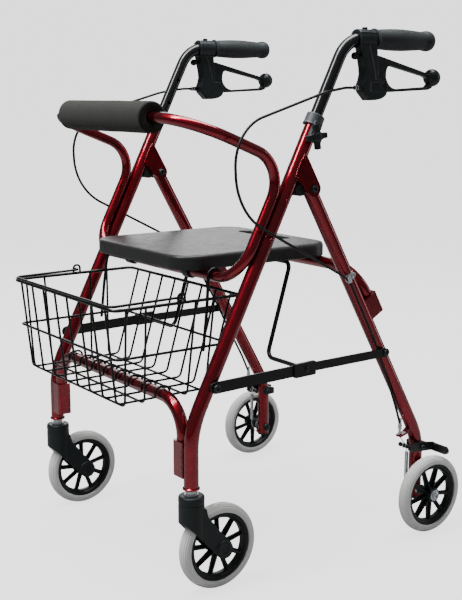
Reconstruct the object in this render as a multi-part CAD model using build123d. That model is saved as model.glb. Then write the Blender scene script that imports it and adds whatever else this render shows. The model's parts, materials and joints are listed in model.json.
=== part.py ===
from build123d import *
import os
from math import atan2, cos, degrees, radians, sin, sqrt, tan

# A folding four-wheeled walking frame with a seat, a wire basket and cable brakes.
# Millimetres. +X is the user's left, -Y is forward, +Z is up. The origin lies on the
# floor, midway between the side frames and about midway between the axles.
# Every paired piece is drawn for the left side and mirrored for the right.

# ---- driving dimensions ----
SIDE_X = 247.0            # plane of each side frame
TUBE_R = 12.7             # main tubes and rear legs, 25.4 mm tube
TUBE_BORE = 11.05         # bore of the main tubes, a sliding fit on the handlebars
LEG_BORE = 11.2
SMALL_TUBE_R = 11.0       # handlebars and crossbars, 22 mm tube
SMALL_TUBE_BORE = 9.5
LOOP_R = 9.5              # backrest tube, 19 mm tube
LOOP_BORE = 8.0
WHEEL_R = 76.0            # 152 mm wheels
TYRE_WIDTH = 24.0
GAP = 0.3                 # clearance between parts that move past each other
RUN = 0.05                # radial clearance of a pin in its hole

FRONT_LEG_Y = -292.0
REAR_LEG_Y = 238.0
FRONT_AXLE_Y = -239.0
REAR_AXLE_Y = 237.0
REAR_WHEEL_X = 287.5

MAIN_LEAN = 27.0          # main tubes, degrees from upright, leaning back
MAIN_REF_Y = -186.4       # the main tube's axis at MAIN_REF_Z
MAIN_REF_Z = 500.0
HINGE_Y = -44.4           # fold hinge between the main tubes and the rear legs
HINGE_Z = 682.3
REAR_LEAN = 29.5          # rear legs, degrees from upright, leaning forward

LEG_BOTTOM_Z = 194.0
MAIN_TOP_Z = 798.0
GRIP_Z = 937.0
KNOB_Z = 771.0
LOOP_OFFSET = 22.4        # backrest tube ahead of the main tube's axis
CROSSBAR_Z = 533.5        # seat pivot: the backrest tube's run under the seat
SEAT_BOTTOM_Z = 543.3
SEAT_TOP_Z = 569.0
SEAT_HALF_WIDTH = 162.0
SEAT_FRONT_Y = -252.0
SEAT_REAR_Y = 88.0
LOWER_BAR_Z = 334.0
STRUT_Z = 368.0
COLLAR_Z = 788.0          # foot of the height collar on the main tube's axis
FRONT_STRUT_X = (266.2, 269.2)
REAR_STRUT_X = (262.6, 265.6)

# Handlebars, brake levers and their housings
BAR_BEND = 60.0
BAR_HOLE_TOP_Z = 870.8
BAR_HOLE_PITCH = 52.0     # height holes along the handlebar's inner side
LEVER_X = 252.0
LEVER_HALF = 6.0
LEVER_PIVOT = (112.0, 856.0)
LEVER_BALL = (242.5, 871.5)
BALL_R = 16.0

# Brake cables: out of the housing, down beside the frame, to the rear leg's lug
CABLE_R = 2.4
CABLE_START_X = 257.0
CABLE_UPPER = [(CABLE_START_X, 48.9, 853), (CABLE_START_X, 27, 853), (264, -22, 846),
               (278, -226, 788), (278, -220, 652)]
CLIP_Z = 521.0            # the clip on the rear leg
CABLE_END = (246.0, 194.0, 214.2)
CABLE_BENDS = [60, 200, 80, 108, 60, 200, 200, 60]
WIRE_R = 0.8
LUG_TOP_Z = 194.6
BRAKE_PIVOT = (REAR_LEG_Y, 164.0)
BRAKE_PIN = (208.5, 167.5)    # the arm's front pin, where the wire and the spring hook on
BRAKE_BAR_Y = 266.0
BRAKE_BAR_Z = 159.3
SPRING_X = 252.0

# Wheels and casters
RIM_R = 61.0
HUB_R = 14.0
FORK_IN = 16.0
FORK_OUT = 20.5

# Seat, its rivets, clips and lifting bail
RIVET_X = 147.0
RIVET_Y = (-205.0, -190.0, 28.0, 43.0)
CLIP_X = 100.0
BAIL_X = 158.0
BAIL_Y = -12.0
BAIL_Z = 538.4
BAIL_R = 4.0

# Basket
BASKET_TOP_Z = 497.0
BASKET_X = 188.0
BASKET_FRONT_Y = -401.0
BASKET_REAR_Y = -147.0
MID_Z = 413.0
FLOOR_Z = 331.0
FLOOR_X = 172.0
FLOOR_FRONT_Y = -383.0
FLOOR_REAR_Y = -197.0
THICK_WIRE = 2.6
THIN_WIRE = 1.75
HOOK_X = 176.0
HANDLE_Y = -270.0

# ---- derived places ----
MAIN_DIR = Vector(0, sin(radians(MAIN_LEAN)), cos(radians(MAIN_LEAN)))
REAR_DIR = Vector(0, sin(radians(REAR_LEAN)), -cos(radians(REAR_LEAN)))
REAR_NORMAL = Vector(0, cos(radians(REAR_LEAN)), sin(radians(REAR_LEAN)))


def main_y(z):
    """Y of the main tube's axis at height z."""
    return MAIN_REF_Y + (z - MAIN_REF_Z) * tan(radians(MAIN_LEAN))


def rear_y(z):
    """Y of the straight part of the rear leg's axis at height z."""
    return HINGE_Y + (HINGE_Z - z) * tan(radians(REAR_LEAN))


def loop_y(z):
    """Y of the backrest tube's axis where it runs along the main tube."""
    return main_y(z) - LOOP_OFFSET / cos(radians(MAIN_LEAN))


def beside_rear_leg(z, out, back):
    """A point beside the rear leg: out in X from its axis, back square to it."""
    axis = Vector(SIDE_X, rear_y(z), z)
    return axis + Vector(out, 0, 0) + REAR_NORMAL * back


MAIN_BEND_Z = MAIN_REF_Z - (MAIN_REF_Y - FRONT_LEG_Y) / tan(radians(MAIN_LEAN))
REAR_BEND_Z = HINGE_Z - (REAR_LEG_Y - HINGE_Y) / tan(radians(REAR_LEAN))
CROSSBAR_Y = loop_y(CROSSBAR_Z)
STRUT_FRONT = (main_y(STRUT_Z - 4), STRUT_Z - 4)
STRUT_MIDDLE = (-64.0, STRUT_Z)
STRUT_REAR = (rear_y(STRUT_Z + 1), STRUT_Z + 1)
LOWER_BAR_X = SIDE_X - TUBE_R - SMALL_TUBE_R - 0.1
REAR_BAR_BACK = TUBE_R + SMALL_TUBE_R + 0.1
REAR_BAR_TOP_Z = SEAT_BOTTOM_Z - GAP - SMALL_TUBE_R
COLLAR_PLACE = Plane(origin=(SIDE_X, main_y(COLLAR_Z), COLLAR_Z), x_dir=(1, 0, 0),
                     z_dir=MAIN_DIR)


# ---- shared shapes ----
def pipe(points, bends, outer, bore=0.0):
    """A round bar or tube along straight runs joined by tangent bends."""
    route = FilletPolyline(*points, radius=bends) if bends else Line(*points)
    section = Circle(outer) - Circle(bore) if bore else Circle(outer)
    return sweep(Plane(origin=route @ 0, z_dir=route % 0) * section, path=route)


def rod(x0, x1, y, z, radius):
    """A round bar along X."""
    low = min(x0, x1)
    return Plane(origin=(low, y, z), z_dir=(1, 0, 0)) * extrude(Circle(radius), abs(x1 - x0))


def block(x, y, z):
    """A box from its (low, high) pairs."""
    centre = [(pair[0] + pair[1]) / 2 for pair in (x, y, z)]
    size = [pair[1] - pair[0] for pair in (x, y, z)]
    return Pos(*centre) * Box(*size)


def turned(profile, place):
    """A lathe part: profile is (radius, height) pairs, place sets its foot and axis."""
    outline = make_face(Polyline([(r, 0, h) for r, h in profile], close=True))
    return place * revolve(outline, Axis.Z)


def slab(points, x0, x1, corner=0.0):
    """A plate across X from x0 to x1, with its outline given as (y, z) points."""
    outline = make_face(Polyline([(0, y, z) for y, z in points], close=True))
    if corner:
        outline = fillet(outline.vertices(), corner)
    return Pos(min(x0, x1), 0, 0) * extrude(outline, abs(x1 - x0), dir=(1, 0, 0))


def bar_between(start, end, x0, x1, width):
    """A flat bar with round ends between two (y, z) pivots."""
    (y0, z0), (y1, z1) = start, end
    length = sqrt((y1 - y0) ** 2 + (z1 - z0) ** 2)
    along = Plane(origin=(x0, (y0 + y1) / 2, (z0 + z1) / 2),
                  x_dir=(0, y1 - y0, z1 - z0), z_dir=(1, 0, 0))
    return along * extrude(SlotCenterToCenter(length, width), x1 - x0)


def parts_of(*solids):
    """Several separate solids kept in one node."""
    return Compound(children=list(solids))


def save(name, shape):
    export_step(shape, os.path.join("parts", name + ".step"))


def save_pair(name, left):
    save(name + "_left", left)
    save(name + "_right", mirror(left, Plane.YZ))


def save_both(name, left):
    """Left and right copies as separate solids of one node."""
    save(name, parts_of(*left.solids(), *mirror(left, Plane.YZ).solids()))


# ---- front frame ----
def main_route():
    return [(SIDE_X, FRONT_LEG_Y, LEG_BOTTOM_Z), (SIDE_X, FRONT_LEG_Y, MAIN_BEND_Z),
            (SIDE_X, main_y(MAIN_TOP_Z), MAIN_TOP_Z)]


def main_tube():
    tube = pipe(main_route(), 160, TUBE_R, TUBE_BORE)
    screw_hole = rod(SIDE_X + 8, SIDE_X + 15, main_y(KNOB_Z), KNOB_Z, 3.3)
    return tube - screw_hole


def backrest_tube():
    arm_front = (SIDE_X, -296, 804.5)
    elbow = (SIDE_X, loop_y(726), 726)
    foot = (SIDE_X, CROSSBAR_Y, CROSSBAR_Z)
    middle = (0, CROSSBAR_Y, CROSSBAR_Z)
    half = pipe([middle, foot, elbow, arm_front, (0, -296, 804.5)], [62, 58, 88], LOOP_R, LOOP_BORE)
    return half + mirror(half, Plane.YZ)


def backrest_foam():
    profile = [(LOOP_R, -145), (25.5, -145), (27.5, -142.5), (27.5, 142.5), (25.5, 145),
               (LOOP_R, 145)]
    return turned(profile, Plane(origin=(0, -296, 804.5), x_dir=(0, 1, 0), z_dir=(1, 0, 0)))


def front_crossbar():
    foot = (LOWER_BAR_X, FRONT_LEG_Y, 214)
    shoulder = (LOWER_BAR_X, FRONT_LEG_Y, LOWER_BAR_Z)
    points = [foot, shoulder, (-shoulder[0], *shoulder[1:]), (-foot[0], *foot[1:])]
    return pipe(points, 60, SMALL_TUBE_R, SMALL_TUBE_BORE)


def front_crossbar_socket():
    shell = block((LOWER_BAR_X - 13.5, 241), (FRONT_LEG_Y - 13.5, FRONT_LEG_Y + 13.5), (208, 270))
    shell = fillet(shell.edges().filter_by(Axis.Z).group_by(Axis.X)[0], 5)
    bar = Pos(LOWER_BAR_X, FRONT_LEG_Y, 214) * Cylinder(SMALL_TUBE_R + 0.02, 80,
                                                        align=(Align.CENTER, Align.CENTER, Align.MIN))
    leg = pipe(main_route(), 160, TUBE_R + 0.02)
    return (shell - bar - leg).solids().sort_by(SortBy.VOLUME)[-1]


def hinge_bracket():
    """A folded plate welded on the main tube, with an ear on each side of the rear leg."""
    hub = rod(SIDE_X - 16, SIDE_X + 16, HINGE_Y, HINGE_Z, 13.8)
    outline = [(-64.5, 743), (-60.5, 738), (-32.7, 689.7), (-44.4, 682.3), (-52.7, 671.3),
               (-64, 677.5), (-71, 689), (-84.5, 701)]
    body = slab(outline, SIDE_X - 16, SIDE_X + 16) + hub
    tube_line = Plane(origin=(SIDE_X, main_y(700), 700), x_dir=(1, 0, 0), z_dir=MAIN_DIR)
    back = 1 if tube_line.y_dir.Y > 0 else -1
    tube_room = tube_line * Cylinder(TUBE_R + 0.02, 260)
    leg_room = tube_line * (Pos(0, 55 * back, 0) * Box(2 * (TUBE_R + GAP + 0.1), 80, 260))
    front_side = tube_line * (Pos(0, -49.5 * back, 0) * Box(80, 100, 300))
    bolt_hole = rod(SIDE_X - 20, SIDE_X + 20, HINGE_Y, HINGE_Z, 4.02)
    return body - tube_room - leg_room - front_side - bolt_hole


def hinge_stop():
    """The rubber bumper between the main tube and the rear leg that stops the opening."""
    bumper = rod(SIDE_X - 12.6, SIDE_X + 12.6, -73, 681.5, 10.5)
    tube = Plane(origin=(SIDE_X, main_y(680), 680), z_dir=MAIN_DIR) * Cylinder(TUBE_R + 0.02, 90)
    return (bumper - tube - hinge_bracket()).solids().sort_by(SortBy.VOLUME)[-1]


def height_collar():
    """A clamp collar on the main tube's mouth, with a tab outside for the knob's screw."""
    profile = [(0, 0), (17.3, 0), (17.3, 1.8), (16.5, 2.6), (16.3, 19.4), (15.2, 20.6), (0, 20.6)]
    ring = turned(profile, COLLAR_PLACE)
    mouth_depth = (MAIN_TOP_Z - COLLAR_Z) / cos(radians(MAIN_LEAN)) + 0.1
    tube_room = COLLAR_PLACE * (Pos(0, 0, -60) * Cylinder(
        TUBE_R + 0.03, 60 + mouth_depth, align=(Align.CENTER, Align.CENTER, Align.MIN)))
    bar_room = COLLAR_PLACE * Cylinder(SMALL_TUBE_R + RUN, 90)
    knob_drop = (COLLAR_Z - KNOB_Z) / cos(radians(MAIN_LEAN))
    tab = COLLAR_PLACE * (Pos(9.5, 0, -knob_drop / 2) * Box(14.5, 17, knob_drop + 14))
    tab += rod(SIDE_X + 2.25, SIDE_X + 16.75, main_y(KNOB_Z), KNOB_Z, 8.5)
    screw_hole = rod(SIDE_X, SIDE_X + 20, main_y(KNOB_Z), KNOB_Z, 3.0 + RUN)
    body = ring + tab - tube_room - bar_room - screw_hole
    return body.solids().sort_by(SortBy.VOLUME)[-1]


def leg_sleeve():
    """The plastic bush in the leg's end, flared over its rim, that the caster stem turns in."""
    flange_z = 190.0
    profile = [(6 + RUN, 0), (14.8, 0), (14.8, 2.5), (13.2, 3.9), (TUBE_BORE - 0.02, 3.9),
               (TUBE_BORE - 0.02, 60), (6 + RUN, 60)]
    return turned(profile, Plane(origin=(SIDE_X, FRONT_LEG_Y, flange_z)))


def dome_head(x, y, z, radius, height, outward=1):
    """A round fastener head standing along X from x."""
    place = Plane(origin=(x, y, z), x_dir=(0, 1, 0), z_dir=(outward, 0, 0))
    return turned([(0, 0), (radius, 0), (radius, height * 0.4), (radius * 0.6, height * 0.85),
                   (0, height)], place)


def frame_fasteners():
    """Fold hinge bolts, strut pivots on the main tubes and the backrest tube's rivets."""
    hinge = rod(SIDE_X - 18, SIDE_X + 18, HINGE_Y, HINGE_Z, 4.0)
    hinge += dome_head(SIDE_X + 16.05, HINGE_Y, HINGE_Z, 7.5, 5)
    hinge += dome_head(SIDE_X - 16.05, HINGE_Y, HINGE_Z, 7.5, 5, -1)
    y, z = STRUT_FRONT
    strut = rod(SIDE_X + TUBE_R + 0.05, 276, y, z, 4.0)
    strut += rod(SIDE_X + TUBE_R + 0.05, 265.9, y, z, 7.5)
    strut += dome_head(271.6, y, z, 7.5, 4.5)
    rivets = []
    head = [(0, TUBE_R - 0.4), (4.2, TUBE_R - 0.4), (4.2, TUBE_R + 1.0), (2.4, TUBE_R + 2.4),
            (0, TUBE_R + 2.6)]
    for height in (664, 600):
        place = (SIDE_X, main_y(height), height)
        side = Plane(origin=place, x_dir=MAIN_DIR, z_dir=(1, 0, 0))
        tube = Plane(origin=place, z_dir=MAIN_DIR) * Cylinder(TUBE_R + 0.02, 40)
        rivets.append(turned(head, side) - tube)
    return Compound(children=[hinge, strut, *rivets])


# ---- rear frame ----
def rear_leg():
    top = HINGE_Z + 12
    leg = pipe([(SIDE_X, rear_y(top), top), (SIDE_X, REAR_LEG_Y, REAR_BEND_Z),
                (SIDE_X, REAR_LEG_Y, 61)], 120, TUBE_R, LEG_BORE)
    hinge_hole = rod(SIDE_X - 20, SIDE_X + 20, HINGE_Y, HINGE_Z, 4.0 + RUN)
    axle_hole = rod(SIDE_X - 20, SIDE_X + 20, REAR_AXLE_Y, WHEEL_R, 5.02)
    brake_hole = rod(SIDE_X - 20, SIDE_X + 20, *BRAKE_PIVOT, 3.02)
    return leg - hinge_hole - axle_hole - brake_hole


def behind_rear_leg(z_axis, x):
    """A point at x, one bar's width behind the rear leg's axis at height z_axis."""
    back = REAR_NORMAL * REAR_BAR_BACK
    return Vector(x, rear_y(z_axis) + back.Y, z_axis + back.Z)


def rear_crossbar():
    shoulder_z = REAR_BAR_TOP_Z - (REAR_NORMAL * REAR_BAR_BACK).Z
    x = SIDE_X - 2
    foot = behind_rear_leg(shoulder_z - 84, x)
    shoulder = behind_rear_leg(shoulder_z, x)
    points = [foot, shoulder, Vector(-shoulder.X, shoulder.Y, shoulder.Z),
              Vector(-foot.X, foot.Y, foot.Z)]
    return pipe([tuple(p) for p in points], 58, SMALL_TUBE_R, SMALL_TUBE_BORE)


def rear_crossbar_socket():
    """A folded channel round the crossbar's end, welded on the back of the leg."""
    shoulder_z = REAR_BAR_TOP_Z - (REAR_NORMAL * REAR_BAR_BACK).Z
    foot = behind_rear_leg(shoulder_z - 84, SIDE_X - 2)
    place = Plane(origin=tuple(foot), x_dir=(1, 0, 0), z_dir=tuple(REAR_DIR * -1))
    inward = -1 if (place.y_dir.dot(REAR_NORMAL)) > 0 else 1
    shell = place * (Pos(0, 3.5 * inward, 16) * Box(29, 35, 42))
    shell = fillet(shell.edges().filter_by(Axis(origin=(0, 0, 0), direction=tuple(REAR_DIR))), 4)
    bar = place * (Pos(0, 0, 0) * Cylinder(SMALL_TUBE_R + 0.02, 80,
                                           align=(Align.CENTER, Align.CENTER, Align.MIN)))
    axis_point = foot - REAR_NORMAL * REAR_BAR_BACK + Vector(2, 0, 0)
    leg = Plane(origin=tuple(axis_point), z_dir=tuple(REAR_DIR)) * Cylinder(TUBE_R + 0.02, 200)
    return (shell - bar - leg).solids().sort_by(SortBy.VOLUME)[-1]


def leg_end_plug():
    profile = [(0, 0), (TUBE_R - 0.5, 0), (TUBE_R, 1.5), (TUBE_R, 3.9), (LEG_BORE - 0.05, 3.9),
               (LEG_BORE - 0.05, 8), (0, 8)]
    return turned(profile, Plane(origin=(SIDE_X, REAR_LEG_Y, 57)))


def rear_axle():
    """Head inside the leg, spacer, spindle for the wheel, and a washer and bolt outside it."""
    spindle = rod(SIDE_X - 14, 303, REAR_AXLE_Y, WHEEL_R, 5.0)
    spindle += dome_head(SIDE_X - TUBE_R - 0.05, REAR_AXLE_Y, WHEEL_R, 8, 5.5, -1)
    spindle += rod(SIDE_X + TUBE_R + 0.05, 264.4, REAR_AXLE_Y, WHEEL_R, 9)
    outer_end = Plane(origin=(302.3, REAR_AXLE_Y, WHEEL_R), x_dir=(0, 1, 0), z_dir=(1, 0, 0))
    spindle += turned([(0, 0), (10.8, 0), (10.8, 1.2), (9.4, 2.2), (7.2, 2.2), (7.2, 5.0),
                       (6.2, 5.8), (0, 5.8)], outer_end)
    socket = outer_end * (Pos(0, 0, 3.2) * extrude(RegularPolygon(3.4, 6), 4))
    return spindle - socket


def rear_fasteners():
    """Strut pivots on the rear legs and the pivot pins of the brake arms."""
    y, z = STRUT_REAR
    strut = rod(SIDE_X + TUBE_R + 0.05, 270, y, z, 4.0)
    strut += rod(SIDE_X + TUBE_R + 0.05, 262.3, y, z, 7.5)
    strut += dome_head(266.0, y, z, 7.5, 4.5)
    pin = rod(SIDE_X - 17.3, SIDE_X + 18.8, *BRAKE_PIVOT, 3.0)
    pin += dome_head(SIDE_X - 17.3, *BRAKE_PIVOT, 5.5, 3.5, -1)
    pin += dome_head(SIDE_X + 18.8, *BRAKE_PIVOT, 5.5, 3.5)
    return Compound(children=[strut, pin])


# ---- handlebars, grips and brakes ----
def bar_route():
    return [(SIDE_X, main_y(652), 652), (SIDE_X, main_y(GRIP_Z), GRIP_Z), (SIDE_X, 236, GRIP_Z)]


def handlebar():
    bar = pipe(bar_route(), BAR_BEND, SMALL_TUBE_R, SMALL_TUBE_BORE)
    start = Vector(SIDE_X, main_y(BAR_HOLE_TOP_Z), BAR_HOLE_TOP_Z)
    for step in range(5):
        hole = start - MAIN_DIR * (BAR_HOLE_PITCH * step)
        bar -= rod(SIDE_X - 13, SIDE_X - 5, hole.Y, hole.Z, 3.4)
    return bar


def grip():
    """A rubber grip with a front flange, a swollen middle and a bulb that closes the end."""
    start = 98.0
    profile = [(SMALL_TUBE_R + 0.02, 0), (18.6, 0), (18.6, 3.5), (17.2, 4.5), (17.6, 14),
               (19.0, 38), (19.3, 58), (18.6, 84), (16.9, 110), (16.4, 118), (17.9, 123),
               (18.5, 130), (17.8, 137), (14.5, 142), (0, 144), (0, 138.5),
               (SMALL_TUBE_R + 0.02, 138.5)]
    return turned(profile, Plane(origin=(SIDE_X, start, GRIP_Z), x_dir=(1, 0, 0), z_dir=(0, 1, 0)))


def brake_housing():
    """The lever's housing, hung from a clamp round the handlebar."""
    outline = [(58, 948), (96, 948), (97, 922), (98, 909), (100, 890), (101, 870), (122, 866),
               (123, 846), (119, 839), (110, 834), (96, 831.5), (79, 831), (63.5, 846),
               (61.5, 856), (66, 866), (68.5, 876), (67.5, 887), (64, 903), (59, 925)]
    body = slab(outline, LEVER_X - 9.2, LEVER_X + 9.2)
    raised = [(60.5, 925), (77, 925), (84, 903.6), (90.7, 883.7), (93.6, 866.2), (120, 865.5),
              (121, 847), (117.5, 840.5), (109, 836), (96, 833.5), (80.5, 833), (66, 847),
              (64, 857), (67.5, 866), (70, 876), (69, 887), (65.5, 903)]
    body += slab(raised, LEVER_X - 10.6, LEVER_X + 10.6)
    clamp = Plane(origin=(SIDE_X, 58, GRIP_Z), x_dir=(1, 0, 0), z_dir=(0, 1, 0)) * Cylinder(
        16.5, 38, align=(Align.CENTER, Align.CENTER, Align.MIN))
    panel_sketch = Plane(origin=(LEVER_X + 9.4, 99.5, 854.5), x_dir=(0, 1, 0),
                         z_dir=(1, 0, 0)) * RectangleRounded(37, 17, 4)
    panel_room = extrude(panel_sketch, 4)
    lever_room = slab([(82, 842), (150, 842), (150, 917), (82, 917)],
                      LEVER_X - LEVER_HALF - GAP, LEVER_X + LEVER_HALF + GAP)
    bar_room = pipe(bar_route(), BAR_BEND, SMALL_TUBE_R + 0.04)
    pin_room = rod(LEVER_X - 20, LEVER_X + 20, *LEVER_PIVOT, 3.02)
    adjuster_room = Plane(origin=(CABLE_START_X, 44, 853), z_dir=(0, 1, 0)) * Cylinder(3.1, 60)
    body = body + clamp - panel_room - lever_room - bar_room - pin_room - adjuster_room
    return body.solids().sort_by(SortBy.VOLUME)[-1]


def brake_hardware():
    """The lever's pivot pin, the clamp screw, the lock button and the cable adjuster."""
    pin = rod(LEVER_X - 10.6, LEVER_X + 9.3, *LEVER_PIVOT, 3.0)
    screw = turned([(0, 0), (5, 0), (5, 2.4), (3.6, 3.6), (0, 3.6)],
                   Plane(origin=(LEVER_X - 5, 78, 953.6)))
    button = turned([(0, 0), (3.6, 0), (3.6, 5), (5.2, 6), (6.4, 8.5), (6.6, 11), (5.6, 14.5),
                     (3.4, 16.6), (0, 17.4)],
                    Plane(origin=(LEVER_X, 62.0, 907.5), x_dir=(1, 0, 0), z_dir=(0, -1, 0)))
    adjuster = turned([(1.4, 0), (3.0, 0), (3.0, 9.4), (4.6, 9.4), (4.6, 13), (3.4, 13.4),
                       (3.4, 16), (3.9, 16.4), (3.9, 20), (1.4, 20)],
                      Plane(origin=(CABLE_START_X, 70.0, 853), x_dir=(1, 0, 0), z_dir=(0, -1, 0)))
    return Compound(children=[pin, screw, button, adjuster])


def brake_lever():
    """A moulded loop lever: a plate at the pivot, a stout upper arm, a thin lower arm, a ball."""
    plate = [(97, 884), (95, 903), (103, 909), (219, 881), (232, 876), (232, 868), (218, 874),
             (132, 892), (125, 889), (122, 880), (122, 871), (125, 864), (131, 857), (138, 853),
             (147, 850.8), (226, 855), (233, 862), (240, 862), (238, 853), (228, 849.5),
             (134, 845.5), (112, 846.5), (103, 850), (101, 860)]
    body = slab(plate, LEVER_X - LEVER_HALF, LEVER_X + LEVER_HALF)
    body -= rod(LEVER_X - 10, LEVER_X + 10, *LEVER_PIVOT, 3.0 + RUN)
    body += Pos(LEVER_X, *LEVER_BALL) * Sphere(BALL_R)
    return body


def height_knob():
    """A star knob whose screw clamps the handlebar at its height."""
    y, z = main_y(KNOB_Z), KNOB_Z
    face = SIDE_X + 17.1
    cross = Rectangle(43, 9.5) + Rectangle(9.5, 43)
    corners = cross.vertices().filter_by(lambda v: abs(v.X) < 6 and abs(v.Y) < 6)
    cross = fillet(corners, 9)
    tips = cross.vertices().filter_by(lambda v: max(abs(v.X), abs(v.Y)) > 20)
    cross = fillet(tips, 1.8)
    place = Plane(origin=(face, y, z), x_dir=(0, 1, 0), z_dir=(1, 0, 0))
    star = place * (Rot(0, 0, 8) * (Pos(0, 0, 2.5) * extrude(cross, 8)))
    boss = place * extrude(Circle(8), 11)
    cap = turned([(0, 10.6), (7.5, 10.6), (6, 12.4), (0, 13.0)], place)
    screw = rod(SIDE_X + SMALL_TUBE_R + GAP, face + 2, y, z, 3.0)
    return star + boss + cap + screw


def cable_route():
    down_the_leg = [beside_rear_leg(CLIP_Z, 15.6, -9.4), beside_rear_leg(400, 13.0, -9.5),
                    beside_rear_leg(320, 8.0, -14.0), beside_rear_leg(262, 2.0, -18.0)]
    points = CABLE_UPPER + [tuple(p) for p in down_the_leg] + [CABLE_END]
    return points


def brake_cable():
    return pipe(cable_route(), CABLE_BENDS, CABLE_R)


def cable_anchor():
    """A bent red strip welded on the front of the rear leg that stops the cable's casing."""
    x, y, _ = CABLE_END
    strip = bar_between((226, 208), (207, 194.5), x - 6, x + 6, 4.6)
    strip += bar_between((207, 194.5), (191.5, 190.7), x - 6, x + 6, 4.6)
    leg = pipe([(SIDE_X, rear_y(400), 400), (SIDE_X, REAR_LEG_Y, REAR_BEND_Z),
                (SIDE_X, REAR_LEG_Y, 61)], 120, TUBE_R + 0.02)
    wire_room = Pos(x, y, LUG_TOP_Z) * Cylinder(2.4, 30)
    return (strip - leg - wire_room).solids().sort_by(SortBy.VOLUME)[-1]


def cable_barrel():
    """The barrel adjuster that stands on the lug, under the casing's end."""
    x, y, z = CABLE_END
    top = z - 1.4
    profile = [(1.4, LUG_TOP_Z - 4), (2.3, LUG_TOP_Z - 4), (2.3, LUG_TOP_Z + 1.2),
               (4.0, LUG_TOP_Z + 1.2), (4.0, LUG_TOP_Z + 3.4), (2.4, LUG_TOP_Z + 3.6),
               (2.4, top - 8.6), (3.9, top - 8.4), (3.9, top - 4.4), (3.3, top - 4.2), (3.3, top),
               (1.4, top)]
    return turned(profile, Plane(origin=(x, y, 0)))


def brake_wire():
    """The bare inner wire from the adjuster down to the brake arm's pin."""
    x, y, _ = CABLE_END
    foot = (x - 1.5, BRAKE_PIN[0], BRAKE_PIN[1] + 4)
    return pipe([(x, y, LUG_TOP_Z - 4.8), foot], None, WIRE_R)


def cable_clip():
    """The clip that holds the cable on the rear leg's outer side."""
    axis_point = beside_rear_leg(CLIP_Z, 0, 0)
    place = Plane(origin=tuple(axis_point), x_dir=(1, 0, 0), z_dir=tuple(REAR_DIR * -1))
    back = 1 if place.y_dir.dot(REAR_NORMAL) > 0 else -1
    band = place * Cylinder(TUBE_R + 1.2, 13) - place * Cylinder(TUBE_R + 0.03, 30)
    keep = place * (Pos(12, -1.5 * back, 0) * Box(16, 19, 13))
    strap = band & keep
    screw = turned([(0, 0), (4.4, 0), (4.4, 2.2), (3.2, 3.4), (0, 3.6)],
                   Plane(origin=tuple(beside_rear_leg(CLIP_Z, TUBE_R + 1.0, 4.5)),
                         x_dir=(0, 1, 0), z_dir=(1, 0, 0)))
    eye_room = pipe(cable_route(), CABLE_BENDS, CABLE_R + GAP)
    centre = beside_rear_leg(CLIP_Z, 15.6, -9.4)
    eye = Plane(origin=tuple(centre), z_dir=tuple(REAR_DIR * -1)) * Cylinder(4.6, 12)
    leg = place * Cylinder(TUBE_R + 0.03, 60)
    return (strap + eye + screw - eye_room - leg).solids().sort_by(SortBy.VOLUME)[-1]


def brake_arm():
    """A rocking arm on the leg: the wire lifts its front pin, its rear bar presses on the tyre."""
    y, z = BRAKE_PIVOT
    cheek = [(203, 164), (204.5, 171.5), (209, 175), (226, 175.5), (243, 172.5), (258, 170),
             (BRAKE_BAR_Y + 6, 167.5), (BRAKE_BAR_Y + 6, 152), (258, 154), (243, 155.5),
             (226, 156.5), (209, 159)]
    arm = slab(cheek, SIDE_X + TUBE_R + GAP, SIDE_X + 18.5)
    inner = [(y - 9, z - 7), (y - 9, z + 9), (y + 5, z + 8.5), (y + 19, z + 6), (y + 19, z - 8),
             (y + 5, z - 8.5)]
    arm += slab(inner, SIDE_X - 17, SIDE_X - TUBE_R - GAP)
    arm += block((SIDE_X - 17, SIDE_X + 18.5), (y + 14.5, y + 19), (z - 8, z + 5))
    bar = Plane(origin=(SIDE_X + 34.5, BRAKE_BAR_Y, BRAKE_BAR_Z), x_dir=(1, 0, 0), z_dir=(0, 1, 0)) * (
        extrude(SlotOverall(45, 15), 6))
    arm += bar
    arm += rod(SIDE_X - 11, SIDE_X + 15, *BRAKE_PIN, 3.4)
    arm += rod(SIDE_X - 14.5, SIDE_X - 10, *BRAKE_PIN, 4.3)
    pin_hole = rod(SIDE_X - 30, SIDE_X + 30, y, z, 3.0 + RUN)
    return arm - pin_hole


def brake_spring():
    """The return spring from the arm's front pin to the lug at the leg's foot."""
    return pipe([(SPRING_X, BRAKE_PIN[0], 86.0), (SPRING_X, BRAKE_PIN[0], BRAKE_PIN[1] - 8)],
                None, 3.9, 2.4)


def spring_lug():
    """A small plate at the leg's foot that holds the return spring's lower hook."""
    plate = slab([(219, 64), (219, 69.5), (REAR_LEG_Y - 8, 71), (REAR_LEG_Y - 8, 62)],
                 SIDE_X - 1.5, SIDE_X + 1.5)
    leg = Pos(SIDE_X, REAR_LEG_Y, 70) * Cylinder(TUBE_R + 0.02, 80)
    return plate - leg


# ---- wheels and casters ----
def tyre(x, y):
    half = TYRE_WIDTH / 2
    profile = [(RIM_R, -half + 3), (66, -half), (71, -half + 0.6), (74.6, -half + 3.6),
               (76, -4), (76, 4), (74.6, half - 3.6), (71, half - 0.6), (66, half),
               (RIM_R, half - 3)]
    return turned(profile, Plane(origin=(x, y, WHEEL_R), x_dir=(0, 1, 0), z_dir=(1, 0, 0)))


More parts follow.
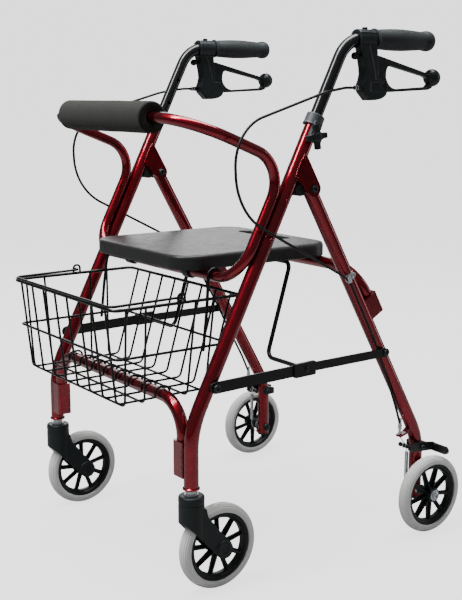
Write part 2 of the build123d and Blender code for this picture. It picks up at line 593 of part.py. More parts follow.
def rim(x, y, hub_in, hub_out, bore):
    """A nine-spoked rim; hub_in and hub_out are the hub's reach from the wheel's middle."""
    place = Plane(origin=(x, y, WHEEL_R), x_dir=(0, 1, 0), z_dir=(1, 0, 0))
    ring = turned([(51, -9), (53, -10), (RIM_R - 0.05, -8.5), (RIM_R - 0.05, 8.5), (53, 10),
                   (51, 9)], place)
    hub = turned([(bore, -hub_in), (HUB_R - 3, -hub_in), (HUB_R, -9), (HUB_R, hub_out - 1.5),
                  (HUB_R - 1, hub_out), (bore, hub_out)], place)
    body = ring + hub
    for spoke in range(9):
        web = Rot(0, 0, 40 * spoke + 12) * (Pos(32.5, 0, 0) * Box(40, 6.5, 9))
        body += place * web
    return body


def caster_fork():
    """A moulded fork: a round head on the stem, and two arms trailing to the axle."""
    head = turned([(6.02, 155), (22.5, 155), (22.5, 165), (21.6, 166), (21.6, 167), (22.6, 168),
                   (22.6, 175.5), (21.6, 178.4), (19, 179.5), (6.02, 179.5)],
                  Plane(origin=(SIDE_X, FRONT_LEG_Y, 0)))
    skirt = slab([(-316, 156), (-316, 133), (-311, 131), (-268, 86), (-268, 156)],
                 SIDE_X - 23, SIDE_X + 23)
    skirt = skirt & (Pos(SIDE_X, FRONT_LEG_Y, 120) * Cylinder(22.5, 80))
    outline = [(-300, 156), (-300, 120), (-250, 64), (-244, 58.5), (-236, 56.5), (-227, 58.5),
               (-220.5, 65), (-219, 75), (-223, 84), (-245, 108), (-270.8, 141), (-274, 156)]
    arms = []
    axle = (FRONT_AXLE_Y, WHEEL_R)
    for side in (1, -1):
        arm = slab(outline, SIDE_X + side * FORK_IN, SIDE_X + side * FORK_OUT)
        arm += rod(SIDE_X + side * FORK_IN, SIDE_X + side * (FORK_OUT + 3), *axle, 15)
        dimple = rod(SIDE_X + side * (FORK_OUT + 1.8), SIDE_X + side * 40, *axle, 8)
        arms.append(arm - dimple)
    wheel_room = rod(SIDE_X - FORK_IN, SIDE_X + FORK_IN, *axle, WHEEL_R + 3)
    axle_hole = rod(SIDE_X - FORK_OUT + 0.5, SIDE_X + FORK_OUT - 0.5, *axle, 4.02)
    stem_hole = Pos(SIDE_X, FRONT_LEG_Y, 170) * Cylinder(6.02, 60)
    return head + (skirt - wheel_room) + arms[0] + arms[1] - axle_hole - stem_hole


def caster_stem():
    """The steel stem with its washer, which turns in the leg's bush."""
    profile = [(0, 157), (6, 157), (6, 179.6), (12, 179.6), (12, 182.2), (9.5, 182.6),
               (9.5, 189.7), (6, 189.7), (6, 246), (4.5, 248), (0, 248)]
    return turned(profile, Plane(origin=(SIDE_X, FRONT_LEG_Y, 0)))


def front_axle():
    """The wheel's axle, closed in by the caps of the fork's arms."""
    return rod(SIDE_X - FORK_OUT + 0.6, SIDE_X + FORK_OUT - 0.6, FRONT_AXLE_Y, WHEEL_R, 4.0)


# ---- seat ----
def seat_board():
    """A moulded tray: a top with rounded corners, a deep rim and ribs, and a hand slot."""
    depth = SEAT_REAR_Y - SEAT_FRONT_Y
    middle = (SEAT_REAR_Y + SEAT_FRONT_Y) / 2
    plan = RectangleRounded(2 * SEAT_HALF_WIDTH, depth, 46)
    board = Pos(0, middle, SEAT_BOTTOM_Z) * extrude(plan, SEAT_TOP_Z - SEAT_BOTTOM_Z)
    board = fillet(board.faces().sort_by(Axis.Z)[-1].edges(), 6)
    inner = RectangleRounded(2 * SEAT_HALF_WIDTH - 8, depth - 8, 42)
    board -= Pos(0, middle, SEAT_BOTTOM_Z) * extrude(inner, 20.7)
    ribs = []
    for x in (-60, 0, 60):
        ribs.append(block((x - 1.2, x + 1.2), (SEAT_FRONT_Y + 5, SEAT_REAR_Y - 5), (552, 565)))
    for y in (-150, -80, -45):
        ribs.append(block((-158, 158), (y - 1.2, y + 1.2), (552, 565)))
    for rib in ribs:
        board += rib
    slot = Pos(0, 48, 500) * extrude(SlotOverall(150, 26), 100)
    slot_wall = Pos(0, 48, SEAT_BOTTOM_Z + 4) * extrude(SlotOverall(157, 33), 20)
    board = board + slot_wall - slot
    for x in (-RIVET_X, RIVET_X):
        for y in RIVET_Y:
            board -= Pos(x, y, SEAT_TOP_Z) * Cylinder(3.4, 2.04)
    return board


def seat_rivets():
    """Rivet heads sunk along the seat's side edge."""
    heads = []
    for y in RIVET_Y:
        place = Plane(origin=(RIVET_X, y, SEAT_TOP_Z - 1.0))
        heads.append(turned([(0, 0), (3.3, 0), (3.3, 0.4), (2.4, 0.85), (0, 0.9)], place))
    return Compound(children=heads)


def seat_clips():
    """Clips under the seat: two turn on the crossbar, two hold the lifting bail."""
    clips = []
    for x in (-CLIP_X, CLIP_X):
        ring = rod(x - 9, x + 9, CROSSBAR_Y, CROSSBAR_Z, LOOP_R + 3.6)
        ring += block((x - 9, x + 9), (CROSSBAR_Y - 13.1, CROSSBAR_Y + 13.1), (CROSSBAR_Z, 563.9))
        ring -= rod(x - 20, x + 20, CROSSBAR_Y, CROSSBAR_Z, LOOP_R + 0.08)
        clips.append(ring)
    for x in (-90, 90):
        ring = rod(x - 8, x + 8, BAIL_Y, BAIL_Z, BAIL_R + 3)
        ring += block((x - 8, x + 8), (BAIL_Y - 7, BAIL_Y + 7), (BAIL_Z, 563.9))
        ring -= rod(x - 20, x + 20, BAIL_Y, BAIL_Z, BAIL_R + 0.08)
        clips.append(ring)
    return Compound(children=clips)


def seat_bail():
    """The bent rod that ties the seat to the middle of both side struts."""
    y, z = STRUT_MIDDLE
    half = [(261.9, y, z), (BAIL_X, y, z), (BAIL_X, BAIL_Y, BAIL_Z)]
    points = half + [(-px, py, pz) for px, py, pz in half[::-1]]
    return pipe(points, [16, 14, 14, 16], BAIL_R)


# ---- side struts ----
def front_strut():
    bar = bar_between(STRUT_FRONT, STRUT_MIDDLE, *FRONT_STRUT_X, 20)
    return bar - rod(255, 280, *STRUT_FRONT, 4.0 + RUN)


def rear_strut():
    bar = bar_between(STRUT_MIDDLE, STRUT_REAR, *REAR_STRUT_X, 16)
    return bar - rod(255, 280, *STRUT_REAR, 4.0 + RUN)


def strut_channel():
    """The channel riveted over the struts' middle joint."""
    y, z = STRUT_MIDDLE
    shell = block((266.3, 272.0), (y - 27, y + 21), (z - 12.6, z + 12.6))
    shell = fillet(shell.edges().filter_by(Axis.X), 3)
    shell -= block((260, 269.3), (y - 60, y + 60), (z - 10.3, z + 10.3))
    slope = degrees(atan2(z - STRUT_FRONT[1], y - STRUT_FRONT[0]))
    shell = Pos(0, y, z) * Rot(slope, 0, 0) * Pos(0, -y, -z) * shell
    return shell + dome_head(271.9, y, z, 5, 3)


# ---- basket ----
def wire_frame(x, front, rear, z, radius, corner):
    """A closed rectangle of wire with round corners."""
    depth = rear - front
    route = Pos(0, (front + rear) / 2, z) * RectangleRounded(2 * x, depth, corner).wire()
    start = route @ 0
    return sweep(Plane(origin=start, z_dir=route % 0) * Circle(radius), path=route)


def mix(low, high, z):
    """A wall's position at height z, between the floor's and the rim's."""
    return low + (high - low) * (z - FLOOR_Z) / (BASKET_TOP_Z - FLOOR_Z)


def basket():
    body = wire_frame(BASKET_X, BASKET_FRONT_Y, BASKET_REAR_Y, BASKET_TOP_Z, THICK_WIRE, 12)
    body += wire_frame(mix(FLOOR_X, BASKET_X, MID_Z) + 2,
                       mix(FLOOR_FRONT_Y, BASKET_FRONT_Y, MID_Z) - 2,
                       mix(FLOOR_REAR_Y, BASKET_REAR_Y, MID_Z) + 2, MID_Z, 2.0, 10)
    arch = SMALL_TUBE_R + THIN_WIRE + 1.6
    top_z = LOWER_BAR_Z + arch
    for step in range(8):
        x = -159.0 + step * 318.0 / 7
        points = [(x, BASKET_FRONT_Y, BASKET_TOP_Z), (x, FLOOR_FRONT_Y, FLOOR_Z),
                  (x, FRONT_LEG_Y - arch, FLOOR_Z), (x, FRONT_LEG_Y - arch, top_z),
                  (x, FRONT_LEG_Y + arch, top_z), (x, FRONT_LEG_Y + arch, FLOOR_Z),
                  (x, FLOOR_REAR_Y, FLOOR_Z), (x, BASKET_REAR_Y, BASKET_TOP_Z)]
        body += pipe(points, [10, 3.5, 10.5, 10.5, 3.5, 10], THIN_WIRE)
    for y in (-374.0, -336.0, -250.0, -212.0):
        rim_y = y + (9 if y > FRONT_LEG_Y else -4)
        points = [(BASKET_X, rim_y, BASKET_TOP_Z), (FLOOR_X, y, FLOOR_Z - 2.2),
                  (-FLOOR_X, y, FLOOR_Z - 2.2), (-BASKET_X, rim_y, BASKET_TOP_Z)]
        body += pipe(points, 12, THIN_WIRE)
    for side in (1, -1):
        body += hook_rod(side)
        body += handle_eye(side)
    return body


def hook_rod(side):
    """A rod up from the basket's side that hooks over the seat's crossbar."""
    reach = LOOP_R + THICK_WIRE + 0.6
    low = Vector(side * (HOOK_X + 4.5), CROSSBAR_Y - reach - 14, MID_Z - 6)
    points = [tuple(low), (side * (HOOK_X + 4.5), CROSSBAR_Y - reach - 6, BASKET_TOP_Z - 20),
              (side * HOOK_X, CROSSBAR_Y - reach, CROSSBAR_Z - 4),
              (side * HOOK_X, CROSSBAR_Y - reach, CROSSBAR_Z + reach),
              (side * HOOK_X, CROSSBAR_Y + reach, CROSSBAR_Z + reach),
              (side * HOOK_X, CROSSBAR_Y + reach, CROSSBAR_Z - 2)]
    return pipe(points, [30, 14, reach - 0.4, reach - 0.4], THICK_WIRE)


def handle_eye(side):
    """A small upright loop on the rim that the carry handle turns in."""
    x = side * BASKET_X
    points = [(x, HANDLE_Y - 7, BASKET_TOP_Z), (x, HANDLE_Y - 7, BASKET_TOP_Z + 16),
              (x, HANDLE_Y + 7, BASKET_TOP_Z + 16), (x, HANDLE_Y + 7, BASKET_TOP_Z)]
    return pipe(points, 6.8, THIN_WIRE)


def basket_handle():
    """The carry handle, folded forward on the rim."""
    z = BASKET_TOP_Z + 7.6
    front_z = BASKET_TOP_Z + THICK_WIRE + 3.2
    inner = BASKET_X - 7
    points = [(BASKET_X + 6, HANDLE_Y, z), (inner, HANDLE_Y, z), (inner, -404, front_z),
              (-inner, -404, front_z), (-inner, HANDLE_Y, z), (-BASKET_X - 6, HANDLE_Y, z)]
    return pipe(points, [5.5, 14, 14, 5.5], 2.4)


def report_cable():
    route = FilletPolyline(*cable_route(), radius=CABLE_BENDS)
    print("brake cable: length %.1f mm, bends %s mm" % (route.length, CABLE_BENDS))


os.makedirs("parts", exist_ok=True)
save_pair("main_tube", main_tube())
save("backrest_tube", backrest_tube())
save("backrest_foam", backrest_foam())
save("front_crossbar", front_crossbar())
save_both("front_crossbar_sockets", front_crossbar_socket())
save_both("hinge_brackets", hinge_bracket())
save_both("hinge_stops", hinge_stop())
save_both("height_collars", height_collar())
save_both("leg_sleeves", leg_sleeve())
save_both("frame_fasteners", frame_fasteners())
save_pair("rear_leg", rear_leg())
save("rear_crossbar", rear_crossbar())
save_both("rear_crossbar_sockets", rear_crossbar_socket())
save_both("leg_end_plugs", leg_end_plug())
save_both("rear_axles", rear_axle())
save_both("rear_fasteners", rear_fasteners())
save_both("leg_lugs", parts_of(cable_anchor(), spring_lug()))
save_both("cable_fittings", parts_of(cable_clip(), cable_barrel()))
save_pair("brake_spring", brake_spring())
save_both("brake_wires", brake_wire())
save_pair("handlebar", handlebar())
save_pair("grip", grip())
save_pair("brake_housing", brake_housing())
save_pair("brake_hardware", brake_hardware())
save_pair("brake_lever", brake_lever())
save_pair("brake_cable", brake_cable())
save_pair("height_knob", height_knob())
save_pair("brake_arm", brake_arm())
save_pair("caster_fork", caster_fork())
save_pair("caster_steel", parts_of(caster_stem(), front_axle()))
save_pair("front_tyre", tyre(SIDE_X, FRONT_AXLE_Y))
save_pair("front_rim", rim(SIDE_X, FRONT_AXLE_Y, 15.5, 15.5, 4.0 + RUN))
save_pair("rear_tyre", tyre(REAR_WHEEL_X, REAR_AXLE_Y))
save_pair("rear_rim", rim(REAR_WHEEL_X, REAR_AXLE_Y, 22.7, 14.5, 5.0 + RUN))
save("seat_board", seat_board())
save_both("seat_rivets", seat_rivets())
save("seat_clips", seat_clips())
save("seat_bail", seat_bail())
save_both("front_struts", front_strut())
save_both("rear_struts", rear_strut())
save_both("strut_channels", strut_channel())
save("basket", basket())
save("basket_handle", basket_handle())
report_cable()
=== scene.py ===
import json
import math
import random

import bmesh
import bpy
from mathutils import Matrix, Vector
from mathutils import noise as field

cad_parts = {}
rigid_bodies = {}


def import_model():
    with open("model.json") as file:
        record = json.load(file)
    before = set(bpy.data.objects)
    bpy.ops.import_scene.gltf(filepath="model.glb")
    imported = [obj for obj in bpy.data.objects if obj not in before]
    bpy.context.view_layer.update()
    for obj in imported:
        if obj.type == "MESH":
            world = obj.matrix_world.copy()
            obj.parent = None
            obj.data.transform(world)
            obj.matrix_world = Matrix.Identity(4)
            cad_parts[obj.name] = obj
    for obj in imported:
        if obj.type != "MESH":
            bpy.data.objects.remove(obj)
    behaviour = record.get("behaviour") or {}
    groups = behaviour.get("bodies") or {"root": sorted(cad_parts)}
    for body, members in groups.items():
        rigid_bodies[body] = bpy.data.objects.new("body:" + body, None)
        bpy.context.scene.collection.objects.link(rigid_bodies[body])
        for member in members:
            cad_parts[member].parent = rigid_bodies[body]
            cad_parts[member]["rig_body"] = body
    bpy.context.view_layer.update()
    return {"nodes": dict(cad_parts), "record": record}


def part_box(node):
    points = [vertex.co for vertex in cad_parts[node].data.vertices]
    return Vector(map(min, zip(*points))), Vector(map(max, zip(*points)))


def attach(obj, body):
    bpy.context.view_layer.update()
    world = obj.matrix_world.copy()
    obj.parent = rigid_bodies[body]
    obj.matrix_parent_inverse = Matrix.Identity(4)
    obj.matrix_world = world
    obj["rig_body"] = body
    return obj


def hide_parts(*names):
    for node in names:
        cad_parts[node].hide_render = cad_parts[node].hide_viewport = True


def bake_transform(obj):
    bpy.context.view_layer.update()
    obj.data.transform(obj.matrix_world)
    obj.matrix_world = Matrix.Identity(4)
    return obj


# Looks of the walking frame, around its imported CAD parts. Metres, in the CAD's own frame:
# +X is the user's left, -Y is forward, +Z is up, and the floor is Z = 0. Paired pieces are
# drawn for the left side and mirrored for the right.

MM = 0.001
SIDES = ("left", "right")
WAYS = {"left": 1, "right": -1}      # which way is outward along X

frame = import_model()
nodes = frame["nodes"]


# ---- routes and meshes ----
def joined_by_arcs(points, radii, closed=False, step=3 * MM):
    """Points along straight runs that are joined by tangent arcs of the given radii."""
    corners = [Vector(p) for p in points]
    count = len(corners)
    inner = range(count) if closed else range(1, count - 1)
    if isinstance(radii, (int, float)):
        radii = [radii] * len(inner)
    route = [] if closed else [corners[0]]
    for i, radius in zip(inner, radii):
        corner = corners[i]
        back = (corners[i - 1] - corner).normalized()
        ahead = (corners[(i + 1) % count] - corner).normalized()
        half = back.angle(ahead) / 2
        turn = math.pi - 2 * half
        if radius <= 0 or turn < 1e-4:
            route.append(corner)
            continue
        centre = corner + (back + ahead).normalized() * (radius / math.sin(half))
        reach = radius / math.tan(half)
        first = corner + back * reach - centre
        last = corner + ahead * reach - centre
        pieces = max(3, math.ceil(turn * radius / step))
        for k in range(pieces + 1):
            t = k / pieces
            mixed = first * math.sin((1 - t) * turn) + last * math.sin(t * turn)
            route.append(centre + mixed / math.sin(turn))
    if not closed:
        route.append(corners[-1])
    return route


def evenly(route, step):
    """The same route with points no further apart than step."""
    dense = [route[0]]
    for a, b in zip(route, route[1:]):
        pieces = max(1, math.ceil((b - a).length / step))
        dense += [a.lerp(b, k / pieces) for k in range(1, pieces + 1)]
    return dense


def frames_along(route, closed):
    """A pair of crosswise directions at each point, carried along without twisting."""
    count = len(route)
    tangents = []
    for i in range(count):
        before = route[i - 1] if closed or i else route[i]
        after = route[(i + 1) % count] if closed or i < count - 1 else route[i]
        tangents.append((after - before).normalized())
    side = tangents[0].orthogonal().normalized()
    pairs = []
    for tangent in tangents:
        side = (side - tangent * side.dot(tangent)).normalized()
        pairs.append((side, tangent.cross(side)))
    return tangents, pairs


def new_piece(name, mesh, material, body=None, stands_for=()):
    """Links a mesh as an object, smooth, with its material and the body it rides on."""
    piece = bpy.data.objects.new(name, mesh)
    bpy.context.scene.collection.objects.link(piece)
    mesh.materials.clear()
    mesh.materials.append(material)
    if body:
        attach(piece, body)
    if stands_for:
        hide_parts(*stands_for)
    return piece


def slot_of(node):
    for row in frame["record"]["subparts"]:
        if row["node"] == node:
            return row["material_slot"]


def stand_in(node, mesh, material):
    """The finished piece that replaces one CAD node, on that node's body."""
    return new_piece(node + "_piece", mesh, material, nodes[node]["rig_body"], [node])


def smooth(mesh, degrees=40):
    """Smooth shading that keeps real edges sharp."""
    for polygon in mesh.polygons:
        polygon.use_smooth = True
    mesh.set_sharp_from_angle(angle=math.radians(degrees))


def finished_mesh(name, form, degrees=40):
    mesh = bpy.data.meshes.new(name)
    bmesh.ops.recalc_face_normals(form, faces=form.faces)
    form.to_mesh(mesh)
    form.free()
    smooth(mesh, degrees)
    return mesh


TIP_SHARES = (0.94, 0.77, 0.5, 0.2)      # radii of the rings that round a bar's tip over


def add_round_bar(form, route, radius, sides=20, closed=False, ends=0.0):
    """A round bar along a route. radius is one number, or one for each point of the route.
    ends is how far each tip is rounded over, as a share of the radius."""
    tangents, pairs = frames_along(route, closed)
    rings = []
    radii = [radius] * len(route) if isinstance(radius, float) else radius
    stations = list(zip(route, tangents, pairs, radii))
    if ends and not closed:
        first, last = stations[0], stations[-1]
        head = []
        tail = []
        for share in TIP_SHARES:
            out = ends * math.sqrt(1 - share ** 2)
            head.append((first[0] - first[1] * (radii[0] * out), *first[1:3], radii[0] * share))
            tail.append((last[0] + last[1] * (radii[-1] * out), *last[1:3], radii[-1] * share))
        stations = head[::-1] + stations + tail
    for point, _, (side, other), r in stations:
        ring = []
        for k in range(sides):
            angle = 2 * math.pi * k / sides
            spot = point + side * (r * math.cos(angle)) + other * (r * math.sin(angle))
            ring.append(form.verts.new(spot))
        rings.append(ring)
    pairs_of_rings = list(zip(rings, rings[1:]))
    if closed:
        pairs_of_rings.append((rings[-1], rings[0]))
    for low, high in pairs_of_rings:
        for k in range(sides):
            form.faces.new((low[k], low[(k + 1) % sides], high[(k + 1) % sides], high[k]))
    if not closed:
        form.faces.new(rings[0][::-1])
        form.faces.new(rings[-1])


def add_turned(form, profile, origin, axis, sides=64, closed=False):
    """A lathe form: profile is (radius, distance along axis) pairs."""
    axis = Vector(axis).normalized()
    side = axis.orthogonal().normalized()
    other = axis.cross(side)
    rings = []
    for radius, along in profile:
        centre = Vector(origin) + axis * along
        if radius < 1e-7:
            rings.append([form.verts.new(centre)])
            continue
        ring = []
        for k in range(sides):
            angle = 2 * math.pi * k / sides
            outward = side * math.cos(angle) + other * math.sin(angle)
            ring.append(form.verts.new(centre + outward * radius))
        rings.append(ring)
    steps = list(zip(rings, rings[1:]))
    if closed:
        steps.append((rings[-1], rings[0]))
    for low, high in steps:
        for k in range(sides):
            m = (k + 1) % sides
            if len(low) == 1:
                form.faces.new((low[0], high[m], high[k]))
            elif len(high) == 1:
                form.faces.new((low[k], low[m], high[0]))
            else:
                form.faces.new((low[k], low[m], high[m], high[k]))
    if not closed:
        if len(rings[0]) > 1:
            form.faces.new(rings[0][::-1])
        if len(rings[-1]) > 1:
            form.faces.new(rings[-1])


def rounded_profile(points, radii, closed=False, step=0.6 * MM):
    """A lathe profile with its corners rounded."""
    route = joined_by_arcs([(r, h, 0) for r, h in points], radii, closed, step)
    return [(p.x, p.y) for p in route]


def moulded(node, voxel, passes, material):
    """A copy of a CAD node whose edges are melted round, as a moulding's are."""
    source = nodes[node]
    mesh = source.data.copy()
    form = bmesh.new()
    form.from_mesh(mesh)
    bmesh.ops.remove_doubles(form, verts=form.verts, dist=1e-6)
    form.to_mesh(mesh)
    form.free()
    draft = bpy.data.objects.new("draft", mesh)
    bpy.context.scene.collection.objects.link(draft)
    remesh = draft.modifiers.new("remesh", "REMESH")
    remesh.mode = "VOXEL"
    remesh.voxel_size = voxel
    relax = draft.modifiers.new("relax", "SMOOTH")
    relax.factor = 0.5
    relax.iterations = passes
    depsgraph = bpy.context.evaluated_depsgraph_get()
    result = bpy.data.meshes.new_from_object(draft.evaluated_get(depsgraph))
    bpy.data.objects.remove(draft)
    smooth(result, 60)
    return stand_in(node, result, material)


# ---- materials ----
def shader(name, colour, rough, metal=0.0, coat=0.0, coat_rough=0.05, specular=0.5, sheen=0.0):
    material = bpy.data.materials.new(name)
    material.use_nodes = True
    tree = material.node_tree
    surface = tree.nodes["Principled BSDF"]
    surface.inputs["Base Color"].default_value = (*colour, 1)
    surface.inputs["Roughness"].default_value = rough
    surface.inputs["Metallic"].default_value = metal
    surface.inputs["Coat Weight"].default_value = coat
    surface.inputs["Coat Roughness"].default_value = coat_rough
    surface.inputs["Specular IOR Level"].default_value = specular
    surface.inputs["Sheen Weight"].default_value = sheen
    return material, tree, surface


def noise(tree, scale, detail=3.0, rough=0.5, stretch=(1, 1, 1)):
    """A noise pattern in the object's own metres."""
    place = tree.nodes.new("ShaderNodeTexCoord")
    fit = tree.nodes.new("ShaderNodeMapping")
    fit.inputs["Scale"].default_value = stretch
    tree.links.new(place.outputs["Object"], fit.inputs["Vector"])
    texture = tree.nodes.new("ShaderNodeTexNoise")
    texture.inputs["Scale"].default_value = scale
    texture.inputs["Detail"].default_value = detail
    texture.inputs["Roughness"].default_value = rough
    tree.links.new(fit.outputs["Vector"], texture.inputs["Vector"])
    return texture.outputs["Fac"]


def cells(tree, scale):
    place = tree.nodes.new("ShaderNodeTexCoord")
    texture = tree.nodes.new("ShaderNodeTexVoronoi")
    texture.inputs["Scale"].default_value = scale
    tree.links.new(place.outputs["Object"], texture.inputs["Vector"])
    return texture.outputs["Distance"]


def spread(tree, source, low, high, from_low=0.3, from_high=0.7):
    """source rescaled to run from low to high."""
    fit = tree.nodes.new("ShaderNodeMapRange")
    fit.inputs["From Min"].default_value = from_low
    fit.inputs["From Max"].default_value = from_high
    fit.inputs["To Min"].default_value = low
    fit.inputs["To Max"].default_value = high
    tree.links.new(source, fit.inputs["Value"])
    return fit.outputs["Result"]


FACTOR, COLOUR_A, COLOUR_B = 0, 6, 7      # inputs of a Mix node that mixes colours
COLOUR_OUT = 2


def blend_colour(tree, factor, first, second, mode="MIX"):
    """Two colours mixed. Each of the three inputs is a value or another node's output."""
    mix = tree.nodes.new("ShaderNodeMix")
    mix.data_type = "RGBA"
    mix.blend_type = mode
    for key, value in ((COLOUR_A, first), (COLOUR_B, second), (FACTOR, factor)):
        if hasattr(value, "is_linked"):
            tree.links.new(value, mix.inputs[key])
        elif key == FACTOR:
            mix.inputs[key].default_value = value
        else:
            mix.inputs[key].default_value = (*value, 1)
    return mix.outputs[COLOUR_OUT]


def shades(colour, *shares):
    """The colour darkened or lightened by each share, clipped at white."""
    return [[min(1, c * share) for c in colour] for share in shares]


def bump(tree, surface, layers):
    """Stacks bump layers: each is (height output, strength, distance in metres)."""
    normal = None
    for height, strength, distance in layers:
        relief = tree.nodes.new("ShaderNodeBump")
        relief.inputs["Strength"].default_value = strength
        relief.inputs["Distance"].default_value = distance
        tree.links.new(height, relief.inputs["Height"])
        if normal:
            tree.links.new(normal, relief.inputs["Normal"])
        normal = relief.outputs["Normal"]
    tree.links.new(normal, surface.inputs["Normal"])


def dress(tree, surface, colour, rough):
    tree.links.new(colour, surface.inputs["Base Color"])
    tree.links.new(rough, surface.inputs["Roughness"])


FLAKE_SHARE = 0.08      # how much of the candy paint's colour is its metal flakes
PIT_SHADE_SHARE = 0.55        # how far the painted shade in the foam's cells darkens it


def candy_paint(name, bright, edge_shade):
    """A clear-coated metallic paint: bright where it faces the view, with painted shade that
    deepens it towards the edge.
    """
    material, tree, surface = shader(name, bright, 0.3, metal=0.94, coat=1.0, coat_rough=0.03)
    facing = tree.nodes.new("ShaderNodeLayerWeight")
    facing.inputs["Blend"].default_value = 0.42
    flake = spread(tree, noise(tree, 900, 1.0), 0.0, 1.0, 0.35, 0.65)
    cloud = spread(tree, noise(tree, 26, 4), 0.0, 1.0, 0.3, 0.7)
    dull, vivid, glint = shades(bright, 0.8, 1.25, 1.5)
    clouded = blend_colour(tree, cloud, dull, vivid)
    # Painted shade: the colour turns deep where the surface turns away from the view, standing in
    # for the shade on a tube's sides.
    body = blend_colour(tree, facing.outputs["Facing"], clouded, edge_shade)
    sparkle = blend_colour(tree, flake, dull, glint)
    colour = blend_colour(tree, FLAKE_SHARE, body, sparkle)
    dress(tree, surface, colour, spread(tree, noise(tree, 90, 4), 0.24, 0.34))
    bump(tree, surface, [(noise(tree, 300, 2), 0.03, 0.02 * MM),
                         (noise(tree, 45, 3), 0.05, 0.15 * MM)])
    return material


def gloss_paint(name, colour, rough_low, rough_high, peel=0.1, coat=0.6, specular=0.5):
    """A plain glossy paint with a little orange peel."""
    material, tree, surface = shader(name, colour, rough_low, coat=coat, coat_rough=0.06,
                                     specular=specular)
    lighter = [c * 1.5 + 0.004 for c in colour]
    mottled = blend_colour(tree, noise(tree, 60, 5), colour, lighter)
    dress(tree, surface, mottled, spread(tree, noise(tree, 140, 5), rough_low, rough_high))
    bump(tree, surface, [(noise(tree, 700, 2), peel, 0.04 * MM)])
    return material


def grained(name, colour, rough_low, rough_high, grain, depth,
            sheen=0.0, mottling=1.35, specular=0.5):
    """A moulded plastic or rubber with a fine spark-eroded grain and slight handling marks."""
    material, tree, surface = shader(name, colour, rough_low, sheen=sheen, specular=specular)
    lighter = [c * mottling + 0.002 for c in colour]
    mottled = blend_colour(tree, noise(tree, 45, 6, 0.6), colour, lighter)
    dress(tree, surface, mottled, spread(tree, noise(tree, 80, 6, 0.6), rough_low, rough_high))
    bump(tree, surface, [(noise(tree, grain, 3), 0.35, depth),
                         (noise(tree, 60, 3), 0.08, 0.15 * MM)])
    return material


def plated(name, colour, rough_low, rough_high):
    """Zinc-plated steel with faint mottling and fine scratches."""
    material, tree, surface = shader(name, colour, rough_low, metal=0.8)
    darker, = shades(colour, 0.72)
    mottled = blend_colour(tree, noise(tree, 120, 6, 0.65), darker, colour)
    dress(tree, surface, mottled, spread(tree, noise(tree, 260, 5), rough_low, rough_high))
    bump(tree, surface, [(noise(tree, 900, 3, 0.6, (1, 6, 1)), 0.15, 0.03 * MM)])
    return material


def foam_skin(name, colour):
    """Open-cell foam: tiny hollows with painted shade in them, soft mottling and a dry sheen."""
    material, tree, surface = shader(name, colour, 0.9, sheen=0.12, specular=0.2)
    surface.inputs["Sheen Roughness"].default_value = 0.6
    # Painted shade: dark specks that stand in for the shade inside the foam's open cells.
    pits = spread(tree, cells(tree, 900), 0.35, 1.0, 0.0, 0.45)
    mottled = blend_colour(tree, noise(tree, 28, 5), *shades(colour, 0.8, 1.25))
    pit_shaded = blend_colour(tree, PIT_SHADE_SHARE, mottled, pits, "MULTIPLY")
    dress(tree, surface, pit_shaded, spread(tree, noise(tree, 200, 4), 0.82, 0.97))
    bump(tree, surface, [(cells(tree, 1100), 0.5, 0.25 * MM),
                         (noise(tree, 60, 4), 0.15, 0.5 * MM)])
    return material


# The second colour is the painted shade that the red turns to towards each silhouette.
red = candy_paint("candy_red", (0.30, 0.001, 0.013), (0.04, 0.0002, 0.006))
gloss_black = gloss_paint("gloss_black", (0.004, 0.0048, 0.006), 0.18, 0.28, 0.1, 0.35, 0.4)
satin_black = gloss_paint("satin_black", (0.005, 0.005, 0.0055), 0.32, 0.46, 0.25, 0.1, 0.3)
wire_black = gloss_paint("wire_black", (0.003, 0.003, 0.0033), 0.22, 0.36, 0.2, 0.12, 0.25)
cable_black = gloss_paint("cable_black", (0.004, 0.004, 0.004), 0.3, 0.42, 0.05, 0.0, 0.3)
moulded_black = grained("moulded_black", (0.012, 0.017, 0.019), 0.3, 0.42, 1900, 0.05 * MM,
                        specular=0.35)
fork_black = grained("fork_black", (0.0095, 0.014, 0.015), 0.34, 0.46, 1700, 0.05 * MM,
                     specular=0.3)
grip_rubber = grained("grip_rubber", (0.017, 0.0215, 0.0235), 0.48, 0.62, 1300, 0.08 * MM,
                      sheen=0.04, specular=0.35)
stop_rubber = grained("stop_rubber", (0.007, 0.007, 0.007), 0.6, 0.75, 1100, 0.08 * MM)
seat_plastic = grained("seat_plastic", (0.011, 0.0118, 0.012), 0.34, 0.48, 1500, 0.07 * MM,
                       sheen=0.06)
rim_plastic = grained("rim_plastic", (0.006, 0.009, 0.0098), 0.3, 0.44, 1700, 0.05 * MM,
                      specular=0.35)
tyre_grey = grained("tyre_grey", (0.8, 0.8, 0.79), 0.5, 0.68, 900, 0.09 * MM, mottling=1.15)
collar_grey = grained("collar_grey", (0.055, 0.064, 0.072), 0.4, 0.52, 1700, 0.05 * MM)
white_nylon = grained("white_nylon", (0.55, 0.55, 0.52), 0.35, 0.5, 1500, 0.03 * MM, mottling=1.1)
zinc = plated("zinc", (0.72, 0.75, 0.79), 0.26, 0.42)
dark_zinc = plated("dark_zinc", (0.055, 0.06, 0.065), 0.26, 0.4)
foam = foam_skin("foam", (0.011, 0.011, 0.0085))

SLOT_MATERIALS = {
    "red_paint": red, "black_paint": satin_black, "black_wire": wire_black, "foam": foam,
    "black_rubber": stop_rubber, "grey_plastic": collar_grey, "black_plastic": moulded_black,
    "seat_plastic": seat_plastic, "steel": zinc, "black_steel": satin_black,
    "grey_tyre": tyre_grey, "rim_plastic": rim_plastic,
}
NODE_MATERIALS = {
    "handlebar_left": gloss_black, "handlebar_right": gloss_black, "frame_fasteners": dark_zinc,
    "rear_fasteners": dark_zinc,
}
for node, thing in nodes.items():
    chosen = NODE_MATERIALS.get(node, SLOT_MATERIALS[slot_of(node)])
    thing.data.materials.clear()
    thing.data.materials.append(chosen)
    for polygon in thing.data.polygons:
        polygon.material_index = 0


